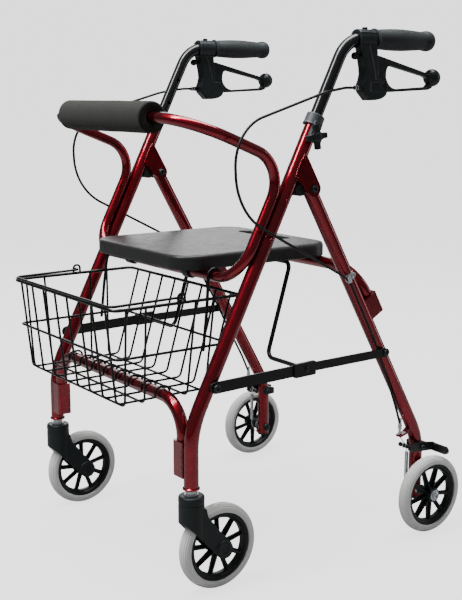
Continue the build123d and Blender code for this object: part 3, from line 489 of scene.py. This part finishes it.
# ---- wheels ----
TYRE_GROOVES = (14, 36, 58)   # degrees round the tyre's section from its crown
GROOVE_DEPTH = 1.1 * MM
GROOVE_SPREAD = 4.2           # degrees
TYRE_SIDE = 118               # degrees from the crown to the bead
TYRE_DEPTH = 15 * MM          # from the tread down to the bead
TYRE_MIDDLE = 10.5 * MM       # from the tread down to the section's middle
SPOKES = 9
X_AXIS = (1, 0, 0)


def fuller(value, power):
    """A sine or cosine whose curve is made fuller, with its sign kept."""
    return math.copysign(abs(value) ** power, value)


def tyre(node):
    """A moulded tyre: a crowned tread, fine circular grooves and rolled beads."""
    low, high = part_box(node)
    centre = (low + high) / 2
    outer = (high.z - low.z) / 2
    half = (high.x - low.x) / 2
    bead = outer - TYRE_DEPTH
    middle_r = outer - TYRE_MIDDLE
    profile = []
    for degree in range(-TYRE_SIDE, TYRE_SIDE + 1, 2):
        turn = math.radians(degree)
        groove = sum(math.exp(-((abs(degree) - g) / GROOVE_SPREAD) ** 2) for g in TYRE_GROOVES)
        swell = 1 - groove * GROOVE_DEPTH / half
        radius = middle_r + (outer - middle_r) * fuller(math.cos(turn), 0.9) * swell
        across = half * fuller(math.sin(turn), 0.8) * swell
        profile.append((max(radius, bead), across))
    form = bmesh.new()
    add_turned(form, profile, centre, X_AXIS, 128, closed=True)
    stand_in(node, finished_mesh(node, form, 70), tyre_grey)


BEVEL_SHARE = 0.22      # of a bar's thinner side
# The eight points round a bevelled bar: a corner's two signs, then how it steps back from it.
BEVELLED_CORNERS = ((1, -1, 0, 1), (1, 1, 0, -1), (1, 1, -1, 0), (-1, 1, 1, 0),
                    (-1, 1, 0, -1), (-1, -1, 0, 1), (-1, -1, 1, 0), (1, -1, -1, 0))


def add_bar(form, centre, along, across, through, length, widths, depths):
    """A tapered bar with bevelled long edges: widths and depths are (inner end, outer end)."""
    rings = []
    for t, width, depth in ((0, widths[0], depths[0]), (1, widths[1], depths[1])):
        spot = centre + along * (length * t)
        corner = BEVEL_SHARE * min(width, depth)
        ring = []
        for sx, sy, ox, oy in BEVELLED_CORNERS:
            sideways = across * (sx * width / 2 + ox * corner)
            ring.append(form.verts.new(spot + sideways + through * (sy * depth / 2 + oy * corner)))
        rings.append(ring)
    count = len(BEVELLED_CORNERS)
    for k in range(count):
        m = (k + 1) % count
        form.faces.new((rings[0][k], rings[0][m], rings[1][m], rings[1][k]))
    form.faces.new(rings[0][::-1])
    form.faces.new(rings[1])


# Half of the rim's section: how far in from its outer edge, and how far from its middle plane.
RING_STEPS = ((0, 8.8), (3, 9.8), (6, 8.6), (8, 5.5), (10.4, 4.5))
HUB_R = 12 * MM         # where the spokes start
SPOKE_FACE = 4.4 * MM
BORES = {"front": 4.4 * MM, "rear": 5.6 * MM}
LONG_HUB = 12 * MM      # a hub end further out than this is the wide outer one


def rim(node, turn):
    """A nine-spoked moulded rim: a stepped ring, cross-ribbed spokes and a long hub."""
    low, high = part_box(node)
    tyre_low, tyre_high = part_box(node.replace("rim", "tyre"))
    centre = (tyre_low + tyre_high) / 2
    outer = (high.z - low.z) / 2
    hub_in, hub_out = low.x - centre.x, high.x - centre.x
    form = bmesh.new()
    section = [(outer - inward * MM, wide * MM) for inward, wide in RING_STEPS]
    section += [(r, -wide) for r, wide in section[:0:-1]]
    ring = rounded_profile([(outer, -RING_STEPS[0][1] * MM)] + section, 0.8 * MM, closed=True)
    add_turned(form, ring, centre, X_AXIS, 120, closed=True)
    place, _, side = node.split("_")
    bore = BORES[place]
    faces = []
    for reach in (hub_in, hub_out):
        facing = math.copysign(1, reach)
        full = abs(reach) > LONG_HUB and facing == WAYS[side]
        rim_r = 13.7 * MM if full else 10.8 * MM
        sunk = reach - 0.5 * MM * facing
        faces.append([(bore, reach), (rim_r - 2.6 * MM, reach), (rim_r - 2.2 * MM, sunk),
                      (rim_r - 1.4 * MM, sunk), (rim_r - 1.0 * MM, reach),
                      (rim_r, reach), (rim_r, 9 * MM * facing)])
    hub = rounded_profile(faces[0] + faces[1][::-1], 0.35 * MM, closed=True, step=0.3 * MM)
    add_turned(form, hub, centre, X_AXIS, 64, closed=True)
    axle = Vector(X_AXIS)
    for k in range(SPOKES):
        angle = math.radians(turn) + 2 * math.pi * k / SPOKES
        along = Vector((0, math.cos(angle), math.sin(angle)))
        across = axle.cross(along)
        start = centre + along * HUB_R
        reach = outer - 10 * MM - HUB_R
        foot = centre + along * (outer - 12.5 * MM)
        for at, length, widths, depths in (
                (start, reach, (7.6 * MM, 9.2 * MM), (SPOKE_FACE, SPOKE_FACE)),
                (start, reach, (2.6 * MM, 2.6 * MM), (16 * MM, 12 * MM)),
                (foot, 3.2 * MM, (9.2 * MM, 14 * MM), (SPOKE_FACE, 7 * MM))):
            add_bar(form, at, along, across, axle, length, widths, depths)
    stand_in(node, finished_mesh(node, form, 35), rim_plastic)


# Degrees from +Y to a spoke. A free wheel may stand at any turn, and these don't follow the photo.
SPOKES_TURNED = {"front": 12, "rear": 30}
for side in SIDES:
    for place, turn in SPOKES_TURNED.items():
        tyre(f"{place}_tyre_{side}")
        rim(f"{place}_rim_{side}", turn)


# ---- grips, foam, mouldings ----
def subdivide(piece, levels):
    modifier = piece.modifiers.new("subdivide", "SUBSURF")
    modifier.levels = levels
    modifier.render_levels = levels
    depsgraph = bpy.context.evaluated_depsgraph_get()
    mesh = bpy.data.meshes.new_from_object(piece.evaluated_get(depsgraph))
    piece.modifiers.clear()
    piece.data = mesh


# Shares of the grip's length and of its largest radius.
GRIP_PROFILE = (
    (0.000, 0.60), (0.000, 0.955), (0.010, 0.985), (0.024, 0.955), (0.032, 0.885),
    (0.075, 0.895), (0.14, 0.925), (0.24, 0.972), (0.36, 1.0), (0.48, 0.995), (0.60, 0.955),
    (0.70, 0.905), (0.78, 0.865), (0.825, 0.855), (0.845, 0.875), (0.865, 0.925),
    (0.90, 0.955), (0.935, 0.945), (0.965, 0.875), (0.985, 0.745), (0.996, 0.52),
    (1.0, 0.25), (1.0, 0))


def grip(node):
    """A rubber grip: flange, swollen palm, narrow neck and a bulb over the bar's end."""
    low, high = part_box(node)
    centre = (low + high) / 2
    length = high.y - low.y
    big = (high.z - low.z) / 2
    form = bmesh.new()
    start = Vector((centre.x, low.y, centre.z))
    add_turned(form, [(big * r, length * t) for t, r in GRIP_PROFILE], start, (0, 1, 0), 96)
    piece = stand_in(node, finished_mesh(node, form, 60), grip_rubber)
    subdivide(piece, 2)


FOAM_BORE = 9.3 * MM
FOAM_GIVE = 0.4 * MM      # room under the CAD surface for the foam's unevenness
FOAM_END = 12 * MM        # length of each shaped end
FOAM_RINGS = 40


def foam_sleeve(node):
    """The foam on the backrest: a soft tube with rolled ends that dip to the metal tube."""
    low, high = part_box(node)
    centre = (low + high) / 2
    half = (high.x - low.x) / 2
    outer = (high.z - low.z) / 2 - FOAM_GIVE
    dip = [(FOAM_BORE, 5 * MM), (FOAM_BORE + 1.2 * MM, 2.6 * MM), (FOAM_BORE + 5 * MM, 0.8 * MM)]
    lip = rounded_profile([(FOAM_BORE + 9 * MM, 0.1 * MM), (outer, 0), (outer, FOAM_END)],
                          3.2 * MM)
    length = 2 * half - 2 * FOAM_END
    profile = [(r, h - half) for r, h in dip + lip]
    profile += [(outer, -half + FOAM_END + length * k / FOAM_RINGS) for k in range(1, FOAM_RINGS)]
    profile += [(r, half - h) for r, h in (dip + lip)[::-1]]
    form = bmesh.new()
    add_turned(form, profile, centre, X_AXIS, 128, closed=True)
    for vertex in form.verts:
        out = Vector((0, vertex.co.y - centre.y, vertex.co.z - centre.z))
        if out.length > FOAM_BORE + 6 * MM:
            soft = field.noise(vertex.co * 22) * 0.35 + field.noise(vertex.co * 75) * 0.12
            vertex.co += out.normalized() * (soft - 0.3) * MM
    piece = stand_in(node, finished_mesh(node, form, 70), foam)


MOULDINGS = {      # voxel, smoothing passes, material
    "brake_housing_": (0.75 * MM, 5, moulded_black),
    "brake_lever_": (0.7 * MM, 5, moulded_black),
    "height_knob_": (0.5 * MM, 4, moulded_black),
    "caster_fork_": (0.9 * MM, 6, fork_black),
}
foam_sleeve("backrest_foam")
for side in SIDES:
    grip("grip_" + side)
    for stem, (voxel, passes, material) in MOULDINGS.items():
        moulded(stem + side, voxel, passes, material)
moulded("height_collars", 0.5 * MM, 4, collar_grey)
moulded("seat_board", 1.3 * MM, 8, seat_plastic)


# ---- brake cables, wires and springs ----
LEG_LEAN = math.radians(29.5)
SIDE_X = 0.247                # plane of each side frame
HINGE = Vector((SIDE_X, -0.0444, 0.6823))


def beside_leg(z, out, behind):
    """A point beside the left rear leg, out in X and behind square to it, in metres."""
    y = HINGE.y + (HINGE.z - z) * math.tan(LEG_LEAN)
    return Vector((HINGE.x + out, y + behind * math.cos(LEG_LEAN), z + behind * math.sin(LEG_LEAN)))


CABLE_END = Vector((0.246, 0.194, 0.2142))
CABLE_CLIP = beside_leg(0.521, 0.0156, -0.0094)
CABLE_POINTS = [(0.257, 0.0489, 0.853), (0.257, 0.027, 0.853), (0.264, -0.022, 0.846),
                (0.278, -0.226, 0.788), (0.278, -0.220, 0.652),
                CABLE_CLIP, beside_leg(0.400, 0.013, -0.0095),
                beside_leg(0.320, 0.008, -0.014), beside_leg(0.262, 0.002, -0.018), CABLE_END]
CABLE_BENDS = [0.06, 0.2, 0.08, 0.108, 0.06, 0.2, 0.2, 0.06]
CABLE_R = 2.4 * MM
ADJUSTER = (0.257, 0.0545, 0.853)
LUG_TOP = 0.1946
ARM_PIN = Vector((0.252, 0.2085, 0.1675))    # the brake arm's front pin


def mirrored(points, side):
    """Points given for the left side, on either side."""
    return [Vector((WAYS[side] * p[0], p[1], p[2])) for p in points]


def swept(name, route, radius, material, sides=20, closed=False, ends=0.0):
    form = bmesh.new()
    add_round_bar(form, route, radius, sides, closed, ends)
    return new_piece(name, finished_mesh(name, form, 50), material)


def brake_cable(side):
    """One cable in two pieces, parted at its foremost point."""
    route = evenly(joined_by_arcs(mirrored(CABLE_POINTS, side), CABLE_BENDS, step=2.5 * MM), 6 * MM)
    front = min(range(len(route)), key=lambda i: route[i].y)
    node = "brake_cable_" + side
    upper = swept(node + "_upper", route[:front + 1], CABLE_R, cable_black)
    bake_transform(upper)
    lower = swept(node + "_lower", route[front:], CABLE_R, cable_black)
    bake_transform(lower)
    for piece in (upper, lower):
        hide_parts(node)


def ferrule(name, at, axis, length, radius, body, material):
    """A crimped metal sleeve with a rolled lip."""
    form = bmesh.new()
    waist, lip = radius * 0.88, radius * 0.97
    profile = rounded_profile([(0, 0), (radius, 0), (radius, length * 0.2), (waist, length * 0.26),
                               (waist, length * 0.78), (lip, length * 0.84),
                               (lip, length), (0, length)], 0.25 * MM)
    add_turned(form, profile, at, axis, 32)
    new_piece(name, finished_mesh(name, form, 40), material, body)


SPRING_LOW_Z, SPRING_HIGH_Z = 0.096, 0.157      # the coil's ends
SPRING_TOE_Z = 0.0665         # where the long hook catches the leg's foot
COIL_R = 3.1 * MM
EYE_R = 4.1 * MM
SPRING_WIRE_R = 0.76 * MM
POINTS_A_TURN = 14
COIL_POINTS = 40 * POINTS_A_TURN


def spring(side):
    """A close-wound return spring: an eye round the arm's pin, a long hook to the leg's foot."""
    node = "brake_spring_" + side
    pin, = mirrored([ARM_PIN], side)
    foot = Vector((pin.x, pin.y, SPRING_LOW_Z))
    head = Vector((pin.x, pin.y, SPRING_HIGH_Z))
    coil = []
    for k in range(COIL_POINTS + 1):
        angle = 2 * math.pi * k / POINTS_A_TURN
        lean = Vector((math.cos(angle), math.sin(angle), 0))
        coil.append(foot.lerp(head, k / COIL_POINTS) + lean * COIL_R)
    toe = Vector((WAYS[side] * SIDE_X, pin.y + 12.6 * MM, SPRING_TOE_Z))
    hook_low = joined_by_arcs(
        [toe + Vector((0, 1.5 * MM, 3 * MM)), toe, toe + Vector((0, -7 * MM, 1 * MM)),
         foot + Vector((0, 0, -12 * MM)), foot + Vector((0, 0, -2.5 * MM)), coil[0]],
        [1.2 * MM, 2.5 * MM, 4 * MM, 1.6 * MM], step=0.8 * MM)
    eye = [pin + Vector((0, math.sin(t), math.cos(t))) * EYE_R
           for t in [math.radians(d) for d in range(170, -171, -15)]]
    hook_high = joined_by_arcs([coil[-1], head + Vector((0, 0, 2.2 * MM)), eye[0]], [1.4 * MM],
                               step=0.8 * MM)
    piece = swept(node + "_coil", hook_low + coil[1:] + hook_high[1:] + eye[1:], SPRING_WIRE_R,
                  zinc, 8, ends=1)
    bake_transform(piece)
    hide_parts(node)


LINK_R = 4.2 * MM             # of the wire's link round the arm's pin


def brake_wire(side):
    """The bare inner wire, with its flat link that closes round the arm's pin."""
    top = Vector((CABLE_END.x, CABLE_END.y, LUG_TOP - 4.8 * MM))
    foot = Vector((CABLE_END.x - 1.5 * MM, ARM_PIN.y, ARM_PIN.z + 4.3 * MM))
    ring = [Vector((foot.x, ARM_PIN.y + LINK_R * math.sin(t), ARM_PIN.z + LINK_R * math.cos(t)))
            for t in [math.radians(d) for d in range(8, 361, 15)]]
    route = evenly(mirrored([top, foot], side), 3 * MM) + mirrored(ring, side)
    piece = swept("brake_wire_" + side, route, 1.0 * MM, zinc, 10, ends=1)
    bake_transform(piece)
    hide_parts("brake_wires")


def cable_ends(side):
    """The adjuster's ferrule under the housing, and the ferrule over the barrel on the lug."""
    upper, lower = mirrored([ADJUSTER, CABLE_END], side)
    ferrule("adjuster_ferrule_" + side, upper, (0, -1, 0), 7 * MM, 4.3 * MM,
            f"handlebar_{side}_body", zinc)
    ferrule("casing_ferrule_" + side, lower + Vector((0, 0, -1 * MM)), (0, 0, 1),
            12 * MM, 3.4 * MM, "rear_frame", zinc)
    ferrule("barrel_sleeve_" + side, lower + Vector((0, 0, -9.6 * MM)), (0, 0, 1),
            7.6 * MM, 4.3 * MM, "rear_frame", white_nylon)


for side in SIDES:
    brake_cable(side)
    brake_wire(side)
    spring(side)
    cable_ends(side)


# ---- wire basket ----
FLOOR_Z, MIDDLE_Z, TOP_Z = 0.331, 0.413, 0.497
THIN, MEDIUM, THICK = 2.1 * MM, 2.4 * MM, 2.9 * MM       # radii over the vinyl dip
SMALL_BEAD, BEAD, LARGE_BEAD = 2.5 * MM, 2.7 * MM, 3.1 * MM
FLOOR_X, TOP_X = 0.172, 0.188
FLOOR_FRONT, FLOOR_REAR = -0.383, -0.197
TOP_FRONT, TOP_REAR = -0.401, -0.147
CROSS_WIRES = 8
CROSS_SPAN = 0.318
CROSS_X = [-CROSS_SPAN / 2 + k * CROSS_SPAN / (CROSS_WIRES - 1) for k in range(CROSS_WIRES)]
LONG_Y = (-0.374, -0.336, -0.250, -0.212)      # the floor's lengthwise wires
LONG_DROP = 2.2 * MM                           # how far they lie under the crosswise ones
LOWER_BAR = Vector((0, -0.292, 0.334))         # the crossbar that the floor's arches clear
SEAT_BAR = Vector((0, -0.1945, 0.5335))        # the tube that the hooks hang on
ARCH = 14.35 * MM
HOOK_REACH = 12.7 * MM
HOOK_X, HOOK_FOOT_X = 0.176, 0.1805
EYE_FRONT, EYE_REAR, EYE_RISE = -0.277, -0.263, 0.016
HANDLE_Y, HANDLE_FRONT = -0.270, -0.404


def wall(low, high, z):
    """A wall's place at height z, between the floor's and the rim's."""
    return low + (high - low) * (z - FLOOR_Z) / (TOP_Z - FLOOR_Z)


def wire_ring(form, half, front, rear, z, radius, corner):
    """A closed level ring of wire, such as the rim."""
    corners = [(half, front, z), (half, rear, z), (-half, rear, z), (-half, front, z)]
    route = evenly(joined_by_arcs(corners, corner, closed=True), 12 * MM)
    add_round_bar(form, route, radius, 16, closed=True)


def wire_rod(form, points, bends, radius):
    """A bent wire with rounded tips."""
    route = evenly(joined_by_arcs(points, bends, step=1.6 * MM), 10 * MM)
    add_round_bar(form, route, radius, 14, ends=1)


def dipped_joint(form, at, radius):
    """The bead that the coating makes where two wires cross."""
    shoulder, rise = radius * 0.7, radius * 0.72
    profile = [(0, -radius), (shoulder, -rise), (radius, 0), (shoulder, rise), (0, radius)]
    add_turned(form, profile, at, (0, 0, 1), 10)


def basket():
    """The wire basket: rim, middle ring, crosswise and lengthwise wires, hooks and eyes."""
    form = bmesh.new()
    wire_ring(form, TOP_X, TOP_FRONT, TOP_REAR, TOP_Z, THICK, 12 * MM)
    middle_x = wall(FLOOR_X, TOP_X, MIDDLE_Z) + 2 * MM
    middle_front = wall(FLOOR_FRONT, TOP_FRONT, MIDDLE_Z) - 2 * MM
    middle_rear = wall(FLOOR_REAR, TOP_REAR, MIDDLE_Z) + 2 * MM
    wire_ring(form, middle_x, middle_front, middle_rear, MIDDLE_Z, MEDIUM, 10 * MM)
    before, behind = LOWER_BAR.y - ARCH, LOWER_BAR.y + ARCH
    crest = LOWER_BAR.z + ARCH
    for x in CROSS_X:
        points = [(x, TOP_FRONT, TOP_Z), (x, FLOOR_FRONT, FLOOR_Z), (x, before, FLOOR_Z),
                  (x, before, crest), (x, behind, crest), (x, behind, FLOOR_Z),
                  (x, FLOOR_REAR, FLOOR_Z), (x, TOP_REAR, TOP_Z)]
        bends = [10 * MM, 3.5 * MM, 10.5 * MM, 10.5 * MM, 3.5 * MM, 10 * MM]
        wire_rod(form, points, bends, THIN)
        for y in (middle_front, middle_rear):
            dipped_joint(form, (x, y, MIDDLE_Z), BEAD)
        for y in (TOP_FRONT, TOP_REAR):
            dipped_joint(form, (x, y, TOP_Z), LARGE_BEAD)
    for y in LONG_Y:
        top_y = y + (9 * MM if y > LOWER_BAR.y else -4 * MM)
        points = [(TOP_X, top_y, TOP_Z), (FLOOR_X, y, FLOOR_Z - LONG_DROP),
                  (-FLOOR_X, y, FLOOR_Z - LONG_DROP), (-TOP_X, top_y, TOP_Z)]
        wire_rod(form, points, 12 * MM, THIN)
        for x in (-TOP_X, TOP_X):
            dipped_joint(form, (x, top_y, TOP_Z), LARGE_BEAD)
            dipped_joint(form, (math.copysign(middle_x, x), (top_y + y) / 2, MIDDLE_Z), BEAD)
        for x in CROSS_X:
            dipped_joint(form, (x, y, FLOOR_Z - LONG_DROP / 2), SMALL_BEAD)
    front, rear = SEAT_BAR.y - HOOK_REACH, SEAT_BAR.y + HOOK_REACH
    over = SEAT_BAR.z + HOOK_REACH
    for side in SIDES:
        hook = [(HOOK_FOOT_X, front - 14 * MM, MIDDLE_Z - 6 * MM),
                (HOOK_FOOT_X, front - 6 * MM, TOP_Z - 0.020),
                (HOOK_X, front, SEAT_BAR.z - 4 * MM), (HOOK_X, front, over),
                (HOOK_X, rear, over), (HOOK_X, rear, SEAT_BAR.z - 2 * MM)]
        bends = [0.03, 0.014, HOOK_REACH - 0.4 * MM, HOOK_REACH - 0.4 * MM]
        wire_rod(form, mirrored(hook, side), bends, THICK)
        eye = [(TOP_X, EYE_FRONT, TOP_Z), (TOP_X, EYE_FRONT, TOP_Z + EYE_RISE),
               (TOP_X, EYE_REAR, TOP_Z + EYE_RISE), (TOP_X, EYE_REAR, TOP_Z)]
        wire_rod(form, mirrored(eye, side), 6.8 * MM, THIN)
    stand_in("basket", finished_mesh("basket", form, 60), wire_black)


def basket_handle():
    """The carry handle, lying on the rim, with its ends through the rim's eyes."""
    z = TOP_Z + 7.6 * MM
    front_z = TOP_Z + 5.8 * MM
    inner = TOP_X - 7 * MM
    half = [(TOP_X + 6 * MM, HANDLE_Y, z), (inner, HANDLE_Y, z), (inner, HANDLE_FRONT, front_z)]
    form = bmesh.new()
    wire_rod(form, half + mirrored(half, "right")[::-1],
             [5.5 * MM, 14 * MM, 14 * MM, 5.5 * MM], MEDIUM)
    stand_in("basket_handle", finished_mesh("basket_handle", form, 60), wire_black)


basket()
basket_handle()


# ---- welds and bolts ----
RIPPLE_POINTS = 5             # points of a bead's route in one ripple


def weld_bead(name, points, radius, body):
    """A rippled weld bead along a joint, under the paint."""
    route = evenly([Vector(p) for p in points], 0.5 * MM)
    dice = random.Random(len(name) * 31 + len(route))
    radii = []
    for k in range(len(route)):
        ripple = 0.16 * math.sin(2 * math.pi * k / RIPPLE_POINTS) + dice.uniform(-0.05, 0.05)
        fade = min(1, 0.45 + 0.14 * min(k, len(route) - 1 - k))
        radii.append(radius * fade * (1 + ripple))
    piece = swept(name, route, radii, red, 10, ends=0.8)
    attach(piece, body)


WASHER = 0.9 * MM
BOLT_R = 7.4 * MM             # washers of the hinge and strut bolts
BRAKE_BOLT_R = 5.4 * MM
SPACER_R = 4 * MM
RIVET_R = 3.6 * MM


def add_bolt_cap(form, at, outward, radius):
    """A button head with a round sunk socket, on a thin washer."""
    washer = rounded_profile([(0, 0), (radius, 0), (radius, WASHER), (0, WASHER)], 0.25 * MM)
    add_turned(form, washer, at, (outward, 0, 0), 40)
    head = radius * 0.84
    crown = [(head, WASHER), (head * 0.985, 1.7 * MM), (head * 0.9, 2.6 * MM),
             (head * 0.74, 3.3 * MM), (head * 0.52, 3.65 * MM), (head * 0.46, 3.5 * MM),
             (head * 0.42, 2.0 * MM), (0, 1.7 * MM)]
    add_turned(form, crown, at, (outward, 0, 0), 36)


def add_pin(form, start, length, radius, outward):
    """A plain round pin or spacer along X."""
    profile = rounded_profile([(0, 0), (radius, 0), (radius, length), (0, length)], 0.3 * MM)
    add_turned(form, profile, start, (outward, 0, 0), 32)


def add_rivet(form, at, outward, radius):
    """The dome of a blind rivet, with the dimple that its stem leaves."""
    dome = [(radius, -1.2 * MM), (radius, 0.9 * MM), (radius * 0.93, 1.6 * MM),
            (radius * 0.7, 2.2 * MM), (radius * 0.36, 2.5 * MM), (radius * 0.3, 2.2 * MM),
            (0, 2.1 * MM)]
    add_turned(form, dome, at, (outward, 0, 0), 32)


# Pivots and bolts, as Y and Z, and where along X each thing starts.
STRUT_FRONT = (-0.2557, 0.364)      # the struts' pivots on the main tubes
STRUT_REAR = (0.13286, 0.369)
BRAKE_PIVOT = (0.238, 0.164)
REAR_AXLE = (0.237, 0.076)
TUBE_SIDE = 0.25975                 # the outer side of a main tube or rear leg
HINGE_CAPS = (0.26305, 0.23095)     # outer, inner
BRAKE_CAPS = (0.2658, 0.2297)
FRONT_SPACER, FRONT_CAP = 0.2655, 0.2716
REAR_SPACER, REAR_CAP = 0.262, 0.2660
RIVET_X = 0.2597
RIVET_HEIGHTS = {0.664: -0.10284, 0.600: -0.13545}      # Z and Y of the tubes' rivets
AXLE_CAP_X = 0.23425                # the inner side of a rear leg
AXLE_CAP = ((8.5, 0), (8.5, 2.6), (7.9, 4.4), (6.2, 5.8), (3.4, 6.3), (3.0, 6.0), (0, 5.9))


def across_at(x, place):
    """The point at x whose Y and Z are given as a pair."""
    return Vector((x, *place))


def frame_hardware():
    """Bolt heads, spacers and rivets at the hinges, the struts' pivots and the brakes."""
    form = bmesh.new()
    painted = bmesh.new()
    rear = bmesh.new()
    for way in WAYS.values():
        for start, outward in zip(HINGE_CAPS, (way, -way)):
            add_bolt_cap(form, across_at(way * start, HINGE.yz), outward, BOLT_R)
        add_pin(form, across_at(way * TUBE_SIDE, STRUT_FRONT), 6.1 * MM, BOLT_R, way)
        add_pin(form, across_at(way * FRONT_SPACER, STRUT_FRONT), 7 * MM, SPACER_R, way)
        add_bolt_cap(form, across_at(way * FRONT_CAP, STRUT_FRONT), way, BOLT_R)
        for z, y in RIVET_HEIGHTS.items():
            add_rivet(painted, (way * RIVET_X, y, z), way, RIVET_R)
        add_pin(rear, across_at(way * TUBE_SIDE, STRUT_REAR), 2.5 * MM, BOLT_R, way)
        add_pin(rear, across_at(way * REAR_SPACER, STRUT_REAR), 6 * MM, SPACER_R, way)
        add_bolt_cap(rear, across_at(way * REAR_CAP, STRUT_REAR), way, BOLT_R)
        for start, outward in zip(BRAKE_CAPS, (way, -way)):
            add_bolt_cap(rear, across_at(way * start, BRAKE_PIVOT), outward, BRAKE_BOLT_R)
    stand_in("frame_fasteners", finished_mesh("frame_fasteners", form), dark_zinc)
    stand_in("rear_fasteners", finished_mesh("rear_fasteners", rear), dark_zinc)
    rivets = new_piece("tube_rivets", finished_mesh("tube_rivets", painted), red,
                       nodes["frame_fasteners"]["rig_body"])
    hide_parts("frame_fasteners")


def axle_cap(side):
    """A black cap over the rear axle's inner bolt head."""
    form = bmesh.new()
    profile = [(r * MM, along * MM) for r, along in AXLE_CAP]
    at = across_at(WAYS[side] * AXLE_CAP_X, REAR_AXLE)
    add_turned(form, profile, at, (-WAYS[side], 0, 0), 40)
    new_piece("axle_cap_" + side, finished_mesh("axle_cap", form), satin_black, "rear_frame")


frame_hardware()
for side in SIDES:
    axle_cap(side)

BRACKET_WELD = ((-0.063, 0.742), (-0.071, 0.731), (-0.0786, 0.7155), (-0.0835, 0.703))
WELDS = {
    "bracket_weld_outer": [(0.2592, *place) for place in BRACKET_WELD],
    "bracket_weld_inner": [(0.2348, *place) for place in BRACKET_WELD],
    "socket_weld_front": [(0.2375, -0.3045, 0.209), (0.2378, -0.3048, 0.240),
                          (0.2375, -0.3045, 0.269)],
    "socket_weld_back": [(0.2375, -0.2795, 0.209), (0.2378, -0.2792, 0.240),
                         (0.2375, -0.2795, 0.269)],
}
for label, points in WELDS.items():
    for side in SIDES:
        weld_bead(f"{label}_{side}", mirrored(points, side), 1.5 * MM, "front_frame")


# ---- stage ----
MIDDLE = Vector((0, -0.05, 0.5))      # of the object, where the lights point


def softbox(name, at, size, power):
    """A white rectangular light, size in metres and power in watts."""
    lamp = bpy.data.lights.new(name, "AREA")
    lamp.shape = "RECTANGLE"
    lamp.size, lamp.size_y = size
    lamp.energy = power
    thing = bpy.data.objects.new(name, lamp)
    thing.location = at
    thing.rotation_euler = (MIDDLE - Vector(at)).to_track_quat("-Z", "Y").to_euler()
    bpy.context.scene.collection.objects.link(thing)


def seen_brightness(tree, lit, seen, socket):
    """Lights the object with one strength, and shows the camera another."""
    ray = tree.nodes.new("ShaderNodeLightPath")
    tree.links.new(spread(tree, ray.outputs["Is Camera Ray"], lit, seen, 0.0, 1.0), socket)


WHITE = (1, 1, 1, 1)
WORLD_LIT, WORLD_SEEN = 0.14, 2.04
PAPER_LIT, PAPER_SEEN = 0.0, 2.0
FLOOR_HALF = 30.0
floor_mesh = bpy.data.meshes.new("floor")
floor_corners = [(x * FLOOR_HALF, y * FLOOR_HALF, 0)
                 for x, y in ((-1, -1), (1, -1), (1, 1), (-1, 1))]
floor_mesh.from_pydata(floor_corners, [], [(0, 1, 2, 3)])
floor_paper, paper_tree, paper = shader("paper", (0.3, 0.3, 0.3), 0.9, specular=0.05)
paper.inputs["Emission Color"].default_value = WHITE
seen_brightness(paper_tree, PAPER_LIT, PAPER_SEEN, paper.inputs["Emission Strength"])
floor = bpy.data.objects.new("floor", floor_mesh)
floor_mesh.materials.append(floor_paper)
bpy.context.scene.collection.objects.link(floor)


world = bpy.data.worlds.new("studio")
world.use_nodes = True
sky = world.node_tree.nodes["Background"]
sky.inputs["Color"].default_value = WHITE
seen_brightness(world.node_tree, WORLD_LIT, WORLD_SEEN, sky.inputs["Strength"])
bpy.context.scene.world = world

# The camera stands where a camera with this lens sees the object as it is framed.
AZIMUTH, ELEVATION = 54.33, 10.74
CAMERA_AT = Vector((1.6769, -1.2374, 0.8429))
FOCAL_SHARE = 1.7885           # focal length over the frame's long side
LENS_SHIFT = (0.0010, -0.0047)
SENSOR = 36                    # millimetres, as Blender counts lenses
turned, raised = math.radians(AZIMUTH), math.radians(ELEVATION)
back = Vector((math.sin(turned) * math.cos(raised), -math.cos(turned) * math.cos(raised),
               math.sin(raised)))
right = Vector((math.cos(turned), math.sin(turned), 0))
up = back.cross(right)
lens = bpy.data.cameras.new("camera")
lens.sensor_width = SENSOR
lens.lens = SENSOR * FOCAL_SHARE
lens.shift_x, lens.shift_y = LENS_SHIFT
camera = bpy.data.objects.new("camera", lens)
camera.matrix_world = Matrix((
    (right.x, up.x, back.x, CAMERA_AT.x), (right.y, up.y, back.y, CAMERA_AT.y),
    (right.z, up.z, back.z, CAMERA_AT.z), (0, 0, 0, 1)))
bpy.context.scene.collection.objects.link(camera)
bpy.context.scene.camera = camera


def around(rightward, upward, toward):
    """A place given from the object's middle, along the camera's own directions."""
    return MIDDLE + right * rightward + up * upward + back * toward


softbox("key", around(-1.5, 2.4, 1.5), (0.5, 1.7), 90)
softbox("top", (0.0, 0.0, 2.9), (1.1, 2.4), 100)
softbox("strip", around(2.6, 0.5, -0.5), (0.4, 2.0), 7)
softbox("rear", around(-0.6, 1.6, -2.6), (2.0, 1.4), 26)
